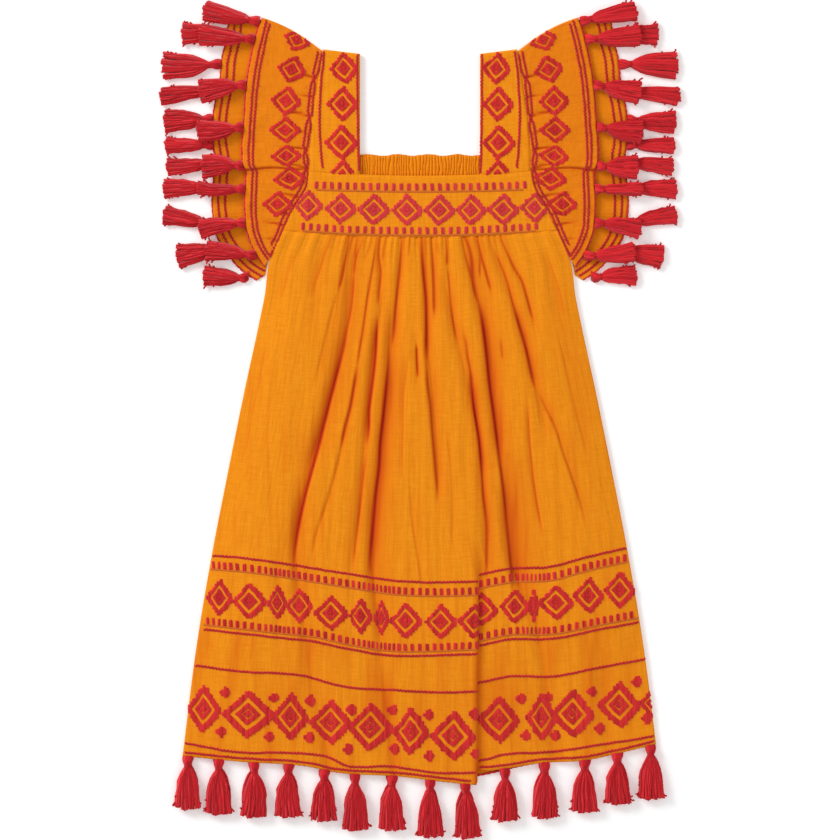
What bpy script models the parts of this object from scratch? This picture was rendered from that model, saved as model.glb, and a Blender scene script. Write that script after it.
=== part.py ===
"""Child's dress with tassel trims, laid flat on its back.

The row frame is in metres: +X to the wearer's left as seen from the front,
+Y from hem to shoulder, +Z up off the table. Every size below is in
millimetres and is turned into metres when a mesh is made.

A maker cuts and sews these pieces, and each is one object here: front and
back skirt panels, front yoke, shirred back yoke, two shoulder straps, two
ruffles folded over the shoulder, and lengths of tassel trim. The trim is a
narrow braid that carries its tassels, sewn just outside the edge of the cloth.
"""
import math

import bmesh
import bpy
from mathutils import Vector

MM = 0.001

# Cloth thickness, and the parting left at each seam.
WALL = 1.2
YOKE_WALL = 1.6
SEAM = 0.3

# Heights of the middle of each layer above the table.
Z_BACK = WALL / 2
Z_SIDE_SEAM = 2.2
Z_YOKE = 4.5
Z_STRAP = 4.0
Z_HEM = 4.3
Z_CREST = 7.6
Z_LOWEST = 2.3

# Garment sizes on the centre line and at the ends of the yoke seams.
YOKE_TOP = 205.3
YOKE_TOP_RISE = 3.6
YOKE_TOP_HALF = 93.0
YOKE_FOOT = 153.2
YOKE_FOOT_RISE = 5.6
YOKE_FOOT_HALF = 116.0
BACK_NECK = 223.0
NECK_HALF = 51.0
SHIRR_PITCH = 2.6
SHIRR_HEIGHT = 1.5
SCALLOP = 0.7
SCALLOP_TURNS = 23.0
YOKE_INSET = 0.6
BACK_YOKE_INSET = 0.8
STRAP_INSET = 0.2
YOKE_RIPPLE = 0.18
YOKE_RIPPLE_LENGTH = 11.0
YOKE_ROWS = 4
YOKE_COLUMNS = 26
BACK_YOKE_ROWS = 3

# Half width of the skirt by height: columns height, half_width.
SKIRT_SIDE = (
    (158.8, 116.4),
    (132.0, 127.9),
    (104.0, 131.8),
    (83.0, 136.0),
    (19.0, 149.8),
    (-66.0, 167.0),
    (-108.0, 175.2),
    (-193.0, 189.6),
    (-290.0, 202.0),
)

# Front hem line before the pleat shifts it: columns across, height.
FRONT_HEM = (
    (-202.0, -286.0),
    (-150.0, -291.0),
    (-97.0, -294.5),
    (-70.0, -300.0),
    (-20.0, -302.5),
    (25.0, -305.5),
    (48.0, -304.5),
    (100.0, -293.5),
    (140.0, -290.0),
    (168.0, -284.0),
    (202.0, -276.0),
)

# Knife pleat in the lower right of the front skirt: the line of its edge as
# (height, across), how far down the skirt it begins and is fully closed, how
# much the two sides part up or down the skirt and off the table, how soon that
# dies away, how wide the cloth is pulled to the line, how wide the other folds
# are calmed there, and the room kept beside the turned cloth.
PLEAT_LINE = (
    (-60.0, 50.0),
    (-118.0, 54.5),
    (-160.0, 50.0),
    (-200.0, 48.5),
    (-304.0, 48.5),
)
PLEAT_BEGINS = 0.52
PLEAT_CLOSES = 0.72
PLEAT_SHIFT = 6.0
PLEAT_LIFT = 1.8
PLEAT_FADE = 32.0
PLEAT_PULL = 24.0
PLEAT_CALM = 14.0
PLEAT_CLEAR = 2.5

# Cloth through the pleat, from the side on top to the side beneath. Columns:
# distance from the line when flat, the same when folded, drop when folded.
PLEAT_FORM = (
    (-2.4, -0.9, 0.0),
    (-0.8, 0.0, 0.9),
    (0.8, -0.9, 1.8),
    (2.4, -1.9, 2.7),
    (4.0, -0.9, 3.6),
    (5.6, 2.5, 3.6),
)

# Folds of the front skirt: name, depth, how far the fold reaches to its left and
# right, and its line as (across, height) points from top to bottom.
FOLDS = (
    ("left_soft", 1.8, 6, 9, ((-73, 154), (-82, 136), (-88, 110), (-94, 70))),
    ("left_long_top", 4.6, 6, 13, ((-58, 152), (-59, 90), (-68, 48), (-81, -2), (-94, -38))),
    ("left_long_foot", 4.4, 6, 13, ((-101, -66), (-105, -110), (-103, -158))),
    ("left_inner", 3.0, 4, 7, ((-34, 152), (-34, 85), (-40, 55), (-45, 2), (-51, -72), (-54, -112))),
    ("centre_left", 5.0, 5, 12, ((-25, 82), (-30, 12), (-36, -42), (-42, -104), (-33, -195))),
    ("centre_top", 2.8, 4, 7, ((-14, 152), (-18, 122), (-21, 90), (-24, 60))),
    ("centre", 3.2, 4, 8, ((1, 152), (3, 131), (5, 80), (9, 38), (14, -20), (16, -60))),
    ("centre_short", 2.0, 4, 4, ((-3, 72), (-3, 55), (-2, 30))),
    ("right_inner", 3.6, 5, 6, ((22, 112), (30, 74), (42, 24), (48, -8), (53, -60), (56, -118))),
    ("right_long_top", 5.0, 5, 14, ((39, 152), (43, 132), (50, 98), (57, 62), (61, 12), (66, -30))),
    ("right_long_foot", 5.0, 5, 14, ((70, -62), (73, -95), (78, -126), (91, -158))),
    ("right_upper", 3.4, 5, 9, ((58, 152), (68, 127), (82, 88), (90, 58), (98, 28), (107, -12))),
    ("right_short", 2.6, 4, 7, ((69, 152), (76, 136), (86, 116), (94, 90), (99, 70))),
    ("right_soft", 1.6, 10, 10, ((112, 120), (121, 78), (132, 40), (140, -10))),
    ("left_band", 2.2, 5, 5, ((-122, -118), (-121, -150), (-121, -196))),
    ("left_hem", 2.6, 9, 9, ((-102, -150), (-90, -230), (-76, -302))),
    ("middle_hem", 1.8, 9, 9, ((-34, -200), (-28, -250), (-22, -305))),
    ("right_hem", 3.0, 7, 10, ((92, -150), (104, -200), (110, -245), (114, -293))),
    ("outer_hem", 1.8, 10, 10, ((150, -160), (156, -220), (160, -288))),
)
FOLD_FADE = 22.0
NEAR_YOKE = 4.0
NEAR_HEM = 12.0

# Gathers under the yoke seam, and how uneven they are in height and length.
GATHERS = 18
GATHER_HEIGHT = 0.75
GATHER_HEIGHT_VARIES = 0.25
GATHER_LENGTH = 42.0
GATHER_LENGTH_VARIES = 0.35

# Relief of the front skirt by share of its height: flat at the yoke seam, at its
# full height from RELIEF_FULL, and falling again from RELIEF_FALLS to the hem.
# The sides roll down to the back panel over SIDE_ROLL of the half width.
RELIEF_STARTS = 0.07
RELIEF_FULL = 0.22
RELIEF_FALLS = 0.72
SEAM_RELIEF = 0.25
SIDE_ROLL = 0.34
SIDE_ROUNDNESS = 2.4
SIDE_EDGE = 0.02

# Rows of the front skirt, closer together at the gathers and the pleat.
SKIRT_ROWS = (0.0, 0.025, 0.06, 0.1, 0.15, 0.22, 0.31, 0.41, 0.52, 0.6, 0.66, 0.72, 0.81, 0.9, 1.0)
COLUMNS_TO_A_GATHER = 4
BACK_SKIRT_COLUMNS = 18
BACK_SKIRT_ROWS = 8
BACK_HEM_SHORTER = 1.0

# Armhole seam, from shoulder to underarm: columns height, distance out.
ARMHOLE = (
    (314.0, 82.4),
    (283.0, 87.4),
    (255.0, 91.8),
    (225.0, 94.2),
    (210.0, 94.2),
    (195.0, 97.2),
    (179.0, 106.0),
    (159.4, 116.0),
    (132.2, 128.3),
    (116.0, 131.2),
)

# Shoulder fold: the strap's two corners and the radius of the turned cloth. The
# strap comes down from the yoke's level over STRAP_LEVEL_BY of its length.
STRAP_INNER_TOP = 307.0
STRAP_OUTER_TOP = 310.8
TURN_RADIUS = (Z_STRAP - Z_BACK) / 2
STRAP_LEVEL_BY = 0.4
STRAP_ROWS_FRONT = 6
STRAP_ROWS_BACK = 4
STRAP_BACK_GAP = 1.0

# Front layer of a ruffle, underarm to shoulder. Columns: height of the inner
# end on the armhole seam, distance out and height of the outer end, height of
# the cloth off the table at the inner end, and the lift of the outer edge.
RUFFLE_FRONT = (
    (133.5, 131.6, 128.6, 2.9, 0.0),
    (146.0, 140.2, 142.0, 3.8, 0.2),
    (159.4, 146.4, 158.0, 4.2, 1.2),
    (170.0, 148.0, 172.0, 4.4, 0.2),
    (181.0, 148.2, 186.0, 4.4, 1.3),
    (192.0, 147.6, 198.0, 4.4, 0.2),
    (205.0, 147.2, 209.0, 4.4, 0.1),
    (209.5, 149.8, 214.5, 4.5, 1.7),
    (220.0, 150.6, 224.0, 4.3, 0.9),
    (232.0, 150.2, 237.0, 4.3, 0.1),
    (247.0, 149.0, 251.0, 4.2, 1.2),
    (262.0, 148.0, 268.0, 4.2, 0.1),
    (276.0, 146.4, 285.0, 4.1, 1.2),
    (290.0, 143.4, 303.0, 4.1, 0.2),
    (302.0, 139.4, 321.0, 4.0, 0.8),
    (309.5, 134.6, 338.0, 4.0, 0.0),
)

# Back layer of a ruffle, shoulder to underarm, with the same columns.
RUFFLE_BACK = (
    (309.5, 134.6, 338.0, 0.6, 0.0),
    (307.0, 147.5, 339.6, 0.6, 0.1),
    (304.5, 160.0, 339.4, 0.6, 0.0),
    (298.0, 164.0, 320.0, 0.6, 0.6),
    (288.0, 168.0, 303.0, 0.6, 0.9),
    (275.0, 169.4, 286.0, 0.6, 0.1),
    (261.0, 173.2, 268.0, 0.6, 0.9),
    (247.0, 175.6, 251.0, 0.6, 0.2),
    (232.0, 175.4, 235.0, 0.6, 0.9),
    (217.0, 173.4, 219.0, 0.6, 0.1),
    (203.0, 174.6, 203.0, 0.6, 0.9),
    (190.0, 176.0, 188.0, 0.6, 0.2),
    (176.0, 175.4, 172.0, 0.6, 0.9),
    (162.0, 171.4, 153.0, 0.6, 0.1),
    (148.0, 158.6, 134.0, 0.6, 0.6),
    (134.0, 148.4, 124.0, 0.6, 0.1),
    (121.0, 137.4, 117.0, 0.6, 0.0),
)

# The row of the back layer's top corner, the parting at the armhole seam in each
# layer, and how far the fold bows up, over how many rows on both sides of it.
BACK_CORNER = 2
SEAM_FRONT = 0.25
SEAM_BACK = 1.2
RUFFLE_TOP_BOW = 3.4
BOWED_ROWS = 3
RUFFLE_ACROSS = 5
TURN_STEPS = 4

# Braid of the trim: its section, its distance from the cloth, half the width of
# a tassel's root on it, and the room between a root and the next bend.
BRAID_HALF_WIDTH = 0.7
BRAID_HALF_HEIGHT = 0.6
BRAID_OUT = 1.5 * SEAM + BRAID_HALF_WIDTH
ROOT_HALF = 1.6
ROOT_CLEAR = 0.8
HEADING_STEP = 1.5

# A tassel's outline from braid to split. Columns: distance from the braid, half
# width, half thickness, all at full size. Past the split it is locks, which
# spread to the tip's width and end unevenly. The tassel rises or falls to its
# own level close to the braid, and its head keeps clear of a slanting braid.
TASSEL_FORM = (
    (2.6, 3.4, 1.8),
    (6.2, 3.4, 1.8),
    (8.6, 1.9, 1.2),
    (12.0, 4.6, 1.8),
)
SPLIT_AT = 16.5
SPLIT_HALF_WIDTH = 6.6
LOCK_GAP = 0.5
LOCK_SPREAD = 1.3
LOCK_LENGTHS = (-0.8, 0.6, 0.0, -0.5)
TASSEL_LENGTH = 45.0
TASSEL_RISES_BY = 4.0
HEAD_CLEAR = 4.4
CLEAR_CURVE = 0.6
FULL_TIP_WIDTH = 22.8

# Heights of the middle of a tassel on each trim, and how flat the ones that
# lie beneath the front hem are pressed.
Z_TASSEL_BACK = 2.5
Z_TASSEL_SHOULDER = 4.4
Z_TASSEL_FRONT = 6.9
Z_TASSEL_HEM = 5.2
Z_TASSEL_UNDER = 1.2
PRESSED = 0.46
UNDER_SHORTER = 2.5
UNDER_NARROWER = 2.0

# Hem tassels. Columns: root across, tip across, tip height.
HEM_TASSELS = (
    (-196.6, -197.0, -331.9),
    (-170.9, -170.6, -336.2),
    (-141.4, -141.4, -338.7),
    (-111.0, -111.6, -338.7),
    (-81.3, -81.3, -342.1),
    (-54.9, -54.4, -349.8),
    (-23.2, -23.5, -349.8),
    (9.0, 9.2, -355.7),
    (38.6, 40.6, -356.6),
    (72.3, 72.0, -342.1),
    (106.3, 105.9, -339.6),
    (139.9, 140.1, -334.5),
    (167.8, 168.4, -327.7),
    (196.2, 196.6, -323.4),
)

# Ruffle tassels. Columns: root out, root height, tip out, tip height, width
# at the tip. The first list hangs from the front layer, ending with the one
# that lies along the shoulder fold, and the second from the back layer.
RUFFLE_TASSELS_FRONT = (
    (141.6, 136.6, 181.8, 141.2, 17.0),
    (148.6, 165.4, 187.0, 159.4, 16.0),
    (148.6, 194.0, 188.8, 194.2, 11.6),
    (150.6, 214.0, 185.0, 212.6, 21.0),
    (150.6, 246.0, 188.8, 242.6, 19.6),
    (148.4, 283.5, 187.2, 276.0, 20.4),
    (142.4, 321.0, 186.8, 325.0, 18.6),
    (136.0, 337.0, 183.4, 345.6, 17.0),
)
RUFFLE_TASSELS_BACK = (
    (162.6, 327.0, 202.0, 326.0, 18.6),
    (169.4, 301.0, 218.4, 298.8, 24.0),
    (172.6, 276.6, 220.2, 272.6, 15.0),
    (175.6, 254.0, 217.0, 251.2, 20.0),
    (175.8, 231.0, 216.0, 231.0, 13.6),
    (174.6, 216.0, 214.8, 212.6, 14.6),
    (176.2, 194.6, 217.6, 194.0, 16.6),
    (176.4, 165.6, 217.6, 172.6, 15.6),
    (167.4, 144.6, 206.4, 136.6, 20.0),
    (144.6, 120.4, 183.6, 120.6, 17.4),
)

# Finishes: name, base colour and roughness. The cloth is a crinkled cotton voile.
CLOTH = ("cotton_voile", (0.86, 0.36, 0.03, 1.0), 0.8)
TRIM = ("cotton_yarn", (0.52, 0.02, 0.03, 1.0), 0.9)


def remove_everything():
    for found in list(bpy.data.objects):
        bpy.data.objects.remove(found)


def new_material(name, colour, roughness):
    material = bpy.data.materials.new(name)
    material.use_nodes = True
    shader = material.node_tree.nodes["Principled BSDF"]
    shader.inputs["Base Color"].default_value = colour
    shader.inputs["Roughness"].default_value = roughness
    shader.inputs["Metallic"].default_value = 0.0
    return material


def between(low, high, share):
    return low + (high - low) * share


def evenly(first, last, count):
    """Values from first to last, count steps apart."""
    return [between(first, last, i / count) for i in range(count + 1)]


def ease(low, high, value):
    """0 below low, 1 above high, and a smooth rise between them."""
    share = min(1.0, max(0.0, (value - low) / (high - low)))
    return share * share * (3 - 2 * share)


def read_curve(table, at):
    """The smooth curve through a table's first two columns, read at one place."""
    rows = table if table[0][0] < table[-1][0] else table[::-1]
    at = min(rows[-1][0], max(rows[0][0], at))
    spot = 0
    while spot < len(rows) - 2 and rows[spot + 1][0] < at:
        spot += 1
    slopes = [
        (rows[i + 1][1] - rows[i][1]) / (rows[i + 1][0] - rows[i][0])
        for i in range(len(rows) - 1)
    ]
    start = slopes[max(0, spot - 1)] / 2 + slopes[spot] / 2
    end = slopes[spot] / 2 + slopes[min(len(slopes) - 1, spot + 1)] / 2
    span = rows[spot + 1][0] - rows[spot][0]
    t = (at - rows[spot][0]) / span
    return (
        rows[spot][1] * (2 * t**3 - 3 * t**2 + 1)
        + start * span * (t**3 - 2 * t**2 + t)
        + rows[spot + 1][1] * (3 * t**2 - 2 * t**3)
        + end * span * (t**3 - t**2)
    )


def skirt_half_width(height):
    return read_curve(SKIRT_SIDE, height)


def armhole(height):
    return read_curve(ARMHOLE, height)


def yoke_top(across):
    return YOKE_TOP + YOKE_TOP_RISE * (across / YOKE_TOP_HALF) ** 2


def yoke_foot(across):
    return YOKE_FOOT + YOKE_FOOT_RISE * (across / YOKE_FOOT_HALF) ** 2


def add_object(name, mesh, finish, collection):
    """Links a mesh as a named object with a material of its own."""
    obj = bpy.data.objects.new(name, mesh)
    mesh.materials.append(new_material(f"{name}_{finish[0]}", *finish[1:]))
    collection.objects.link(obj)
    return obj


def grid_mesh(name, rows):
    """A mesh of one sheet, made from a grid whose points are moved to the rows."""
    bm = bmesh.new()
    bmesh.ops.create_grid(bm, x_segments=len(rows[0]) - 1, y_segments=len(rows) - 1, size=1)
    bm.verts.ensure_lookup_table()
    places = [point for row in rows for point in row]
    for vertex, place in zip(bm.verts, places, strict=True):
        vertex.co = Vector(place) * MM
    bmesh.ops.recalc_face_normals(bm, faces=bm.faces)
    mesh = bpy.data.meshes.new(name)
    bm.to_mesh(mesh)
    bm.free()
    return mesh


def sew_sheet(name, rows, wall, finish, collection):
    """A piece of cloth: a sheet with its thickness shared to both sides."""
    mesh = grid_mesh(name, rows)
    obj = add_object(name, mesh, finish, collection)
    thickness = obj.modifiers.new("Wall", "SOLIDIFY")
    thickness.thickness = wall * MM
    thickness.offset = 0.0
    thickness.use_even_offset = True
    thickness.use_quality_normals = True
    mesh.shade_smooth()
    return obj


# The front skirt.

HEM_HALF = skirt_half_width(FRONT_HEM[0][1])
PLEAT_U = PLEAT_LINE[-1][1] / HEM_HALF
PLEAT_DEPTH = PLEAT_FORM[-1][2]


def fold_depth(across, height):
    """How far all the folds together lower the cloth at one place."""
    total = 0.0
    for _, depth, left, right, line in FOLDS:
        top, bottom = line[0][1], line[-1][1]
        if height > top + FOLD_FADE or height < bottom - FOLD_FADE:
            continue
        centre = read_curve([(y, x) for x, y in line], height)
        reach = left if across < centre else right
        closeness = math.exp(-(((across - centre) / reach) ** 2))
        starts_at_yoke = top > YOKE_FOOT - NEAR_YOKE
        ends_at_hem = bottom < FRONT_HEM[0][1] + NEAR_HEM
        above = 1.0 if starts_at_yoke else ease(top + FOLD_FADE, top - FOLD_FADE, height)
        below = 1.0 if ends_at_hem else ease(bottom - FOLD_FADE, bottom + FOLD_FADE, height)
        total += depth * closeness * above * below
    return total


def gathers(u, drop):
    """Small gathers that fan out under the yoke and die away down the skirt."""
    length = GATHER_LENGTH * (1 + GATHER_LENGTH_VARIES * math.sin(11.0 * u))
    height = GATHER_HEIGHT + GATHER_HEIGHT_VARIES * math.sin(7.0 * u + 1.0)
    fade = math.exp(-((drop / length) ** 2))
    return fade * height * math.sin(math.pi * GATHERS * (u + 1))


def soft_floor(z, floor):
    """Keeps a height above the floor, easing to it from 1 mm above."""
    return z if z > floor + 1 else floor + math.exp(z - floor - 1)


def front_skirt_point(u, v, fold=None):
    """A place on the front skirt.

    u runs from -1 to 1 across and v from 0 at the yoke to 1 at the hem. fold is
    a row of PLEAT_FORM for the cloth that is turned inside the pleat.
    """
    top = yoke_foot(u * YOKE_FOOT_HALF) - SEAM
    height = between(top, read_curve(FRONT_HEM, u * HEM_HALF), v)
    closed = ease(PLEAT_BEGINS, PLEAT_CLOSES, v)
    parted = ease(0.0, 0.5, closed)
    tucked = ease(0.35, 1.0, closed)
    half = skirt_half_width(height)
    away = abs(u - PLEAT_U) * half
    if fold:
        side = 2 * fold[2] / PLEAT_DEPTH - 1
    else:
        side = 1 if u > PLEAT_U else -1
    height += side * PLEAT_SHIFT * closed * math.exp(-away / PLEAT_FADE)
    half = skirt_half_width(height)
    shift = (read_curve(PLEAT_LINE, height) - PLEAT_U * half) * closed
    across = u * half + shift * math.exp(-((away / PLEAT_PULL) ** 2))
    if fold:
        across += between(fold[0] * half / HEM_HALF, fold[1], tucked)

    edge = 1 - abs(u)
    dome = 1 - (1 - min(1.0, edge / SIDE_ROLL)) ** SIDE_ROUNDNESS
    lower_crest = between(Z_HEM, Z_CREST, ease(1.0, RELIEF_FALLS, v))
    crest = between(Z_YOKE, lower_crest, ease(0.0, RELIEF_FULL, v))
    under_yoke = ease(0.0, RELIEF_STARTS, v)
    folds = fold_depth(across, height) * between(SEAM_RELIEF, 1.0, under_yoke)
    folds *= 1 - closed * math.exp(-((away / PLEAT_CALM) ** 2))
    z = between(between(Z_YOKE, Z_SIDE_SEAM, under_yoke), crest, dome)
    z += gathers(u, top - height) - dome * folds
    z = soft_floor(z, Z_SIDE_SEAM if edge < SIDE_EDGE else Z_LOWEST)
    z -= side * PLEAT_LIFT * parted * math.exp(-away / PLEAT_FADE)
    return Vector((across, height, z))


def skirt_columns():
    """Columns of the front skirt, four to each gather, and those of the pleat."""
    count = COLUMNS_TO_A_GATHER * GATHERS
    reach_left = (PLEAT_FORM[0][0] - PLEAT_CLEAR) / HEM_HALF
    reach_right = (PLEAT_FORM[-1][0] + PLEAT_CLEAR) / HEM_HALF
    spread = evenly(-1, 1, count)
    left = [(u, None) for u in spread if u < PLEAT_U + reach_left]
    right = [(u, None) for u in spread if u > PLEAT_U + reach_right]
    return left, [(PLEAT_U, fold) for fold in PLEAT_FORM], right


def make_front_skirt(finish, collection):
    left, pleat, right = skirt_columns()
    columns = left + pleat + right
    rows = [[front_skirt_point(u, v, fold) for u, fold in columns] for v in SKIRT_ROWS]
    return sew_sheet("skirt_front", rows, WALL, finish, collection)


def back_skirt_point(u, v):
    top = yoke_foot(u * YOKE_FOOT_HALF) - SEAM
    height = between(top, read_curve(FRONT_HEM, u * HEM_HALF) + BACK_HEM_SHORTER, v)
    return Vector((u * skirt_half_width(height), height, Z_BACK))


def make_back_skirt(finish, collection):
    across = evenly(-1, 1, BACK_SKIRT_COLUMNS)
    rows = [[back_skirt_point(u, v) for u in across] for v in evenly(0, 1, BACK_SKIRT_ROWS)]
    return sew_sheet("skirt_back", rows, WALL, finish, collection)


# The bodice: front yoke, shirred back yoke and straps.

def yoke_place(u, down, top_of, inset):
    """Across and height of a place on a yoke, where down is 0 at its top and 1 at its foot."""
    top_x = u * (armhole(YOKE_TOP + YOKE_TOP_RISE) - inset)
    foot_x = u * (armhole(YOKE_FOOT + YOKE_FOOT_RISE) - inset)
    height = between(top_of(top_x), yoke_foot(foot_x), down)
    return u * (armhole(height) - inset), height


def make_front_yoke(finish, collection):
    rows = []
    for down in evenly(0, 1, YOKE_ROWS):
        row = []
        for u in evenly(-1, 1, YOKE_COLUMNS):
            across, height = yoke_place(u, down, yoke_top, YOKE_INSET)
            ripple = YOKE_RIPPLE * math.sin(across / YOKE_RIPPLE_LENGTH + 2 * down)
            row.append((across, height, Z_YOKE + ripple))
        rows.append(row)
    return sew_sheet("yoke_front", rows, YOKE_WALL, finish, collection)


def make_back_yoke(finish, collection):
    """A band drawn up by rows of elastic: flat beneath, ribbed with gathers above."""
    ribs = int(2 * armhole(BACK_NECK) / SHIRR_PITCH)
    rows = []
    for down in evenly(0, 1, BACK_YOKE_ROWS):
        row = []
        for u in evenly(-1, 1, 2 * ribs):
            scallop = SCALLOP * math.sin(SCALLOP_TURNS * u) * (1 - down)
            across, height = yoke_place(u, down, lambda x: BACK_NECK + scallop, BACK_YOKE_INSET)
            row.append((across, height, 0.0))
        rows.append(row)
    mesh = grid_mesh("yoke_back", rows)
    bm = bmesh.new()
    bm.from_mesh(mesh)
    raised = bmesh.ops.extrude_face_region(bm, geom=list(bm.faces))["geom"]
    for vertex in raised:
        if not isinstance(vertex, bmesh.types.BMVert):
            continue
        half = (armhole(vertex.co.y / MM) - BACK_YOKE_INSET) * MM
        on_rib = round((vertex.co.x / half + 1) * ribs) % 2
        vertex.co.z += (WALL + SHIRR_HEIGHT * on_rib) * MM
    bmesh.ops.recalc_face_normals(bm, faces=bm.faces)
    bm.to_mesh(mesh)
    bm.free()
    return add_object("yoke_back", mesh, finish, collection)


def turn(radius, step, steps):
    """Reach and drop of cloth turned over an edge, as it goes half way round."""
    angle = math.pi * step / steps
    return radius * math.sin(angle), radius * (1 - math.cos(angle))


def strap_row(side, inner_y, outer_y, z):
    """Points across a strap, from its neck edge to its armhole edge."""
    outer = armhole(outer_y) - STRAP_INSET
    return [
        (side * between(NECK_HALF, outer, t), between(inner_y, outer_y, t), z)
        for t in (0.0, 0.5, 1.0)
    ]


def make_strap(side, name, finish, collection):
    """One band from the front yoke over the shoulder to the back yoke."""
    rows = []
    front_inner = yoke_top(NECK_HALF) + SEAM
    front_outer = yoke_top(armhole(YOKE_TOP)) + SEAM
    for share in evenly(0, 1, STRAP_ROWS_FRONT):
        inner_y = between(front_inner, STRAP_INNER_TOP, share)
        outer_y = between(front_outer, STRAP_OUTER_TOP, share)
        z = between(Z_YOKE, Z_STRAP, ease(0.0, STRAP_LEVEL_BY, share))
        rows.append(strap_row(side, inner_y, outer_y, z))
    for step in range(1, TURN_STEPS):
        reach, drop = turn(TURN_RADIUS, step, TURN_STEPS)
        rows.append(strap_row(side, STRAP_INNER_TOP + reach, STRAP_OUTER_TOP + reach, Z_STRAP - drop))
    foot = BACK_NECK + STRAP_BACK_GAP
    for share in evenly(0, 1, STRAP_ROWS_BACK):
        inner_y = between(STRAP_INNER_TOP, foot, share)
        outer_y = between(STRAP_OUTER_TOP, foot, share)
        rows.append(strap_row(side, inner_y, outer_y, Z_BACK))
    return sew_sheet(name, rows, WALL, finish, collection)


# The ruffles.

def ruffle_row(side, row, seam, bow=0.0):
    """Points of one ruffle section from the armhole seam to the outer edge."""
    inner_y, outer_out, outer_y, z, lift = row
    inner = Vector((side * (armhole(inner_y) + seam), inner_y, z))
    outer = Vector((side * outer_out, outer_y, z))
    points = []
    for i in range(RUFFLE_ACROSS + 1):
        t = i / RUFFLE_ACROSS
        point = inner.lerp(outer, t)
        point.z += lift * t * t
        point.y += bow * math.sin(math.pi * t)
        points.append(point)
    return points


def ruffle_rows(side):
    """Front layer up to the shoulder, the turn, then the back layer down."""
    rows = []
    last = len(RUFFLE_FRONT) - 1
    for i, row in enumerate(RUFFLE_FRONT):
        bow = RUFFLE_TOP_BOW * ease(last - BOWED_ROWS, last, i)
        rows.append(ruffle_row(side, row, SEAM_FRONT, bow))
    inner_y, outer_out, outer_y, z, _ = RUFFLE_FRONT[-1]
    radius = (z - RUFFLE_BACK[0][3]) / 2
    for step in range(1, TURN_STEPS):
        reach, drop = turn(radius, step, TURN_STEPS)
        row = (inner_y + reach, outer_out, outer_y + reach, z - drop, 0.0)
        seam = between(SEAM_FRONT, SEAM_BACK, step / TURN_STEPS)
        rows.append(ruffle_row(side, row, seam, RUFFLE_TOP_BOW))
    for i, row in enumerate(RUFFLE_BACK):
        bow = RUFFLE_TOP_BOW * (1 - ease(0, BOWED_ROWS, i))
        rows.append(ruffle_row(side, row, SEAM_BACK, bow))
    return rows


def make_ruffle(side, name, finish, collection):
    return sew_sheet(name, ruffle_rows(side), WALL, finish, collection)


# The tassel trims.

class Trail:
    """A braid's middle line, moved out from the edge of the cloth."""

    def __init__(self, edge, cloth_on_left):
        self.cloth_on_left = cloth_on_left
        self.points = list(edge)
        self.measure()
        moves = [self.outward(mark) * BRAID_OUT for mark in self.marks]
        self.points = [point + move for point, move in zip(self.points, moves)]
        self.measure()

    def measure(self):
        self.marks = [0.0]
        for a, b in zip(self.points, self.points[1:]):
            self.marks.append(self.marks[-1] + (b - a).length)

    def at(self, distance):
        distance = min(self.marks[-1], max(0.0, distance))
        spot = 0
        while spot < len(self.marks) - 2 and self.marks[spot + 1] < distance:
            spot += 1
        span = self.marks[spot + 1] - self.marks[spot]
        return self.points[spot].lerp(self.points[spot + 1], (distance - self.marks[spot]) / span)

    def heading(self, distance):
        along = self.at(distance + HEADING_STEP) - self.at(distance - HEADING_STEP)
        return Vector((along.x, along.y, 0)).normalized()

    def outward(self, distance):
        along = self.heading(distance)
        left = Vector((-along.y, along.x, 0))
        return -left if self.cloth_on_left else left

    def nearest(self, place):
        """Distance along the line at which it passes closest to a place."""
        return min(evenly(0, self.marks[-1], 1000), key=lambda spot: (self.at(spot).xy - place).length)


class Tassel:
    """Where a tassel hangs and lies. Places are across and height, z is off the table."""

    def __init__(self, root, tip, tip_width, z, locks=4, pressed=1.0):
        self.root = Vector(root)
        self.tip = Vector(tip)
        self.tip_width = tip_width
        self.z = z
        self.locks = locks
        self.pressed = pressed


def braid_section(bm, trail, distance):
    centre = trail.at(distance)
    out = trail.outward(distance) * BRAID_HALF_WIDTH
    up = Vector((0, 0, BRAID_HALF_HEIGHT))
    corners = (centre + out - up, centre + out + up, centre - out + up, centre - out - up)
    return [bm.verts.new(corner * MM) for corner in corners]


def bridge(bm, first, second):
    for i in range(len(first)):
        k = (i + 1) % len(first)
        bm.faces.new((first[i], first[k], second[k], second[i]))


def fan(bm, line, a, b):
    """Joins a line of points to a shorter edge from a to b."""
    middle = len(line) // 2 - 1
    for i in range(len(line) - 1):
        if i == middle:
            bm.faces.new((a, line[i], line[i + 1], b))
        else:
            bm.faces.new((a if i < middle else b, line[i], line[i + 1]))


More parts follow.
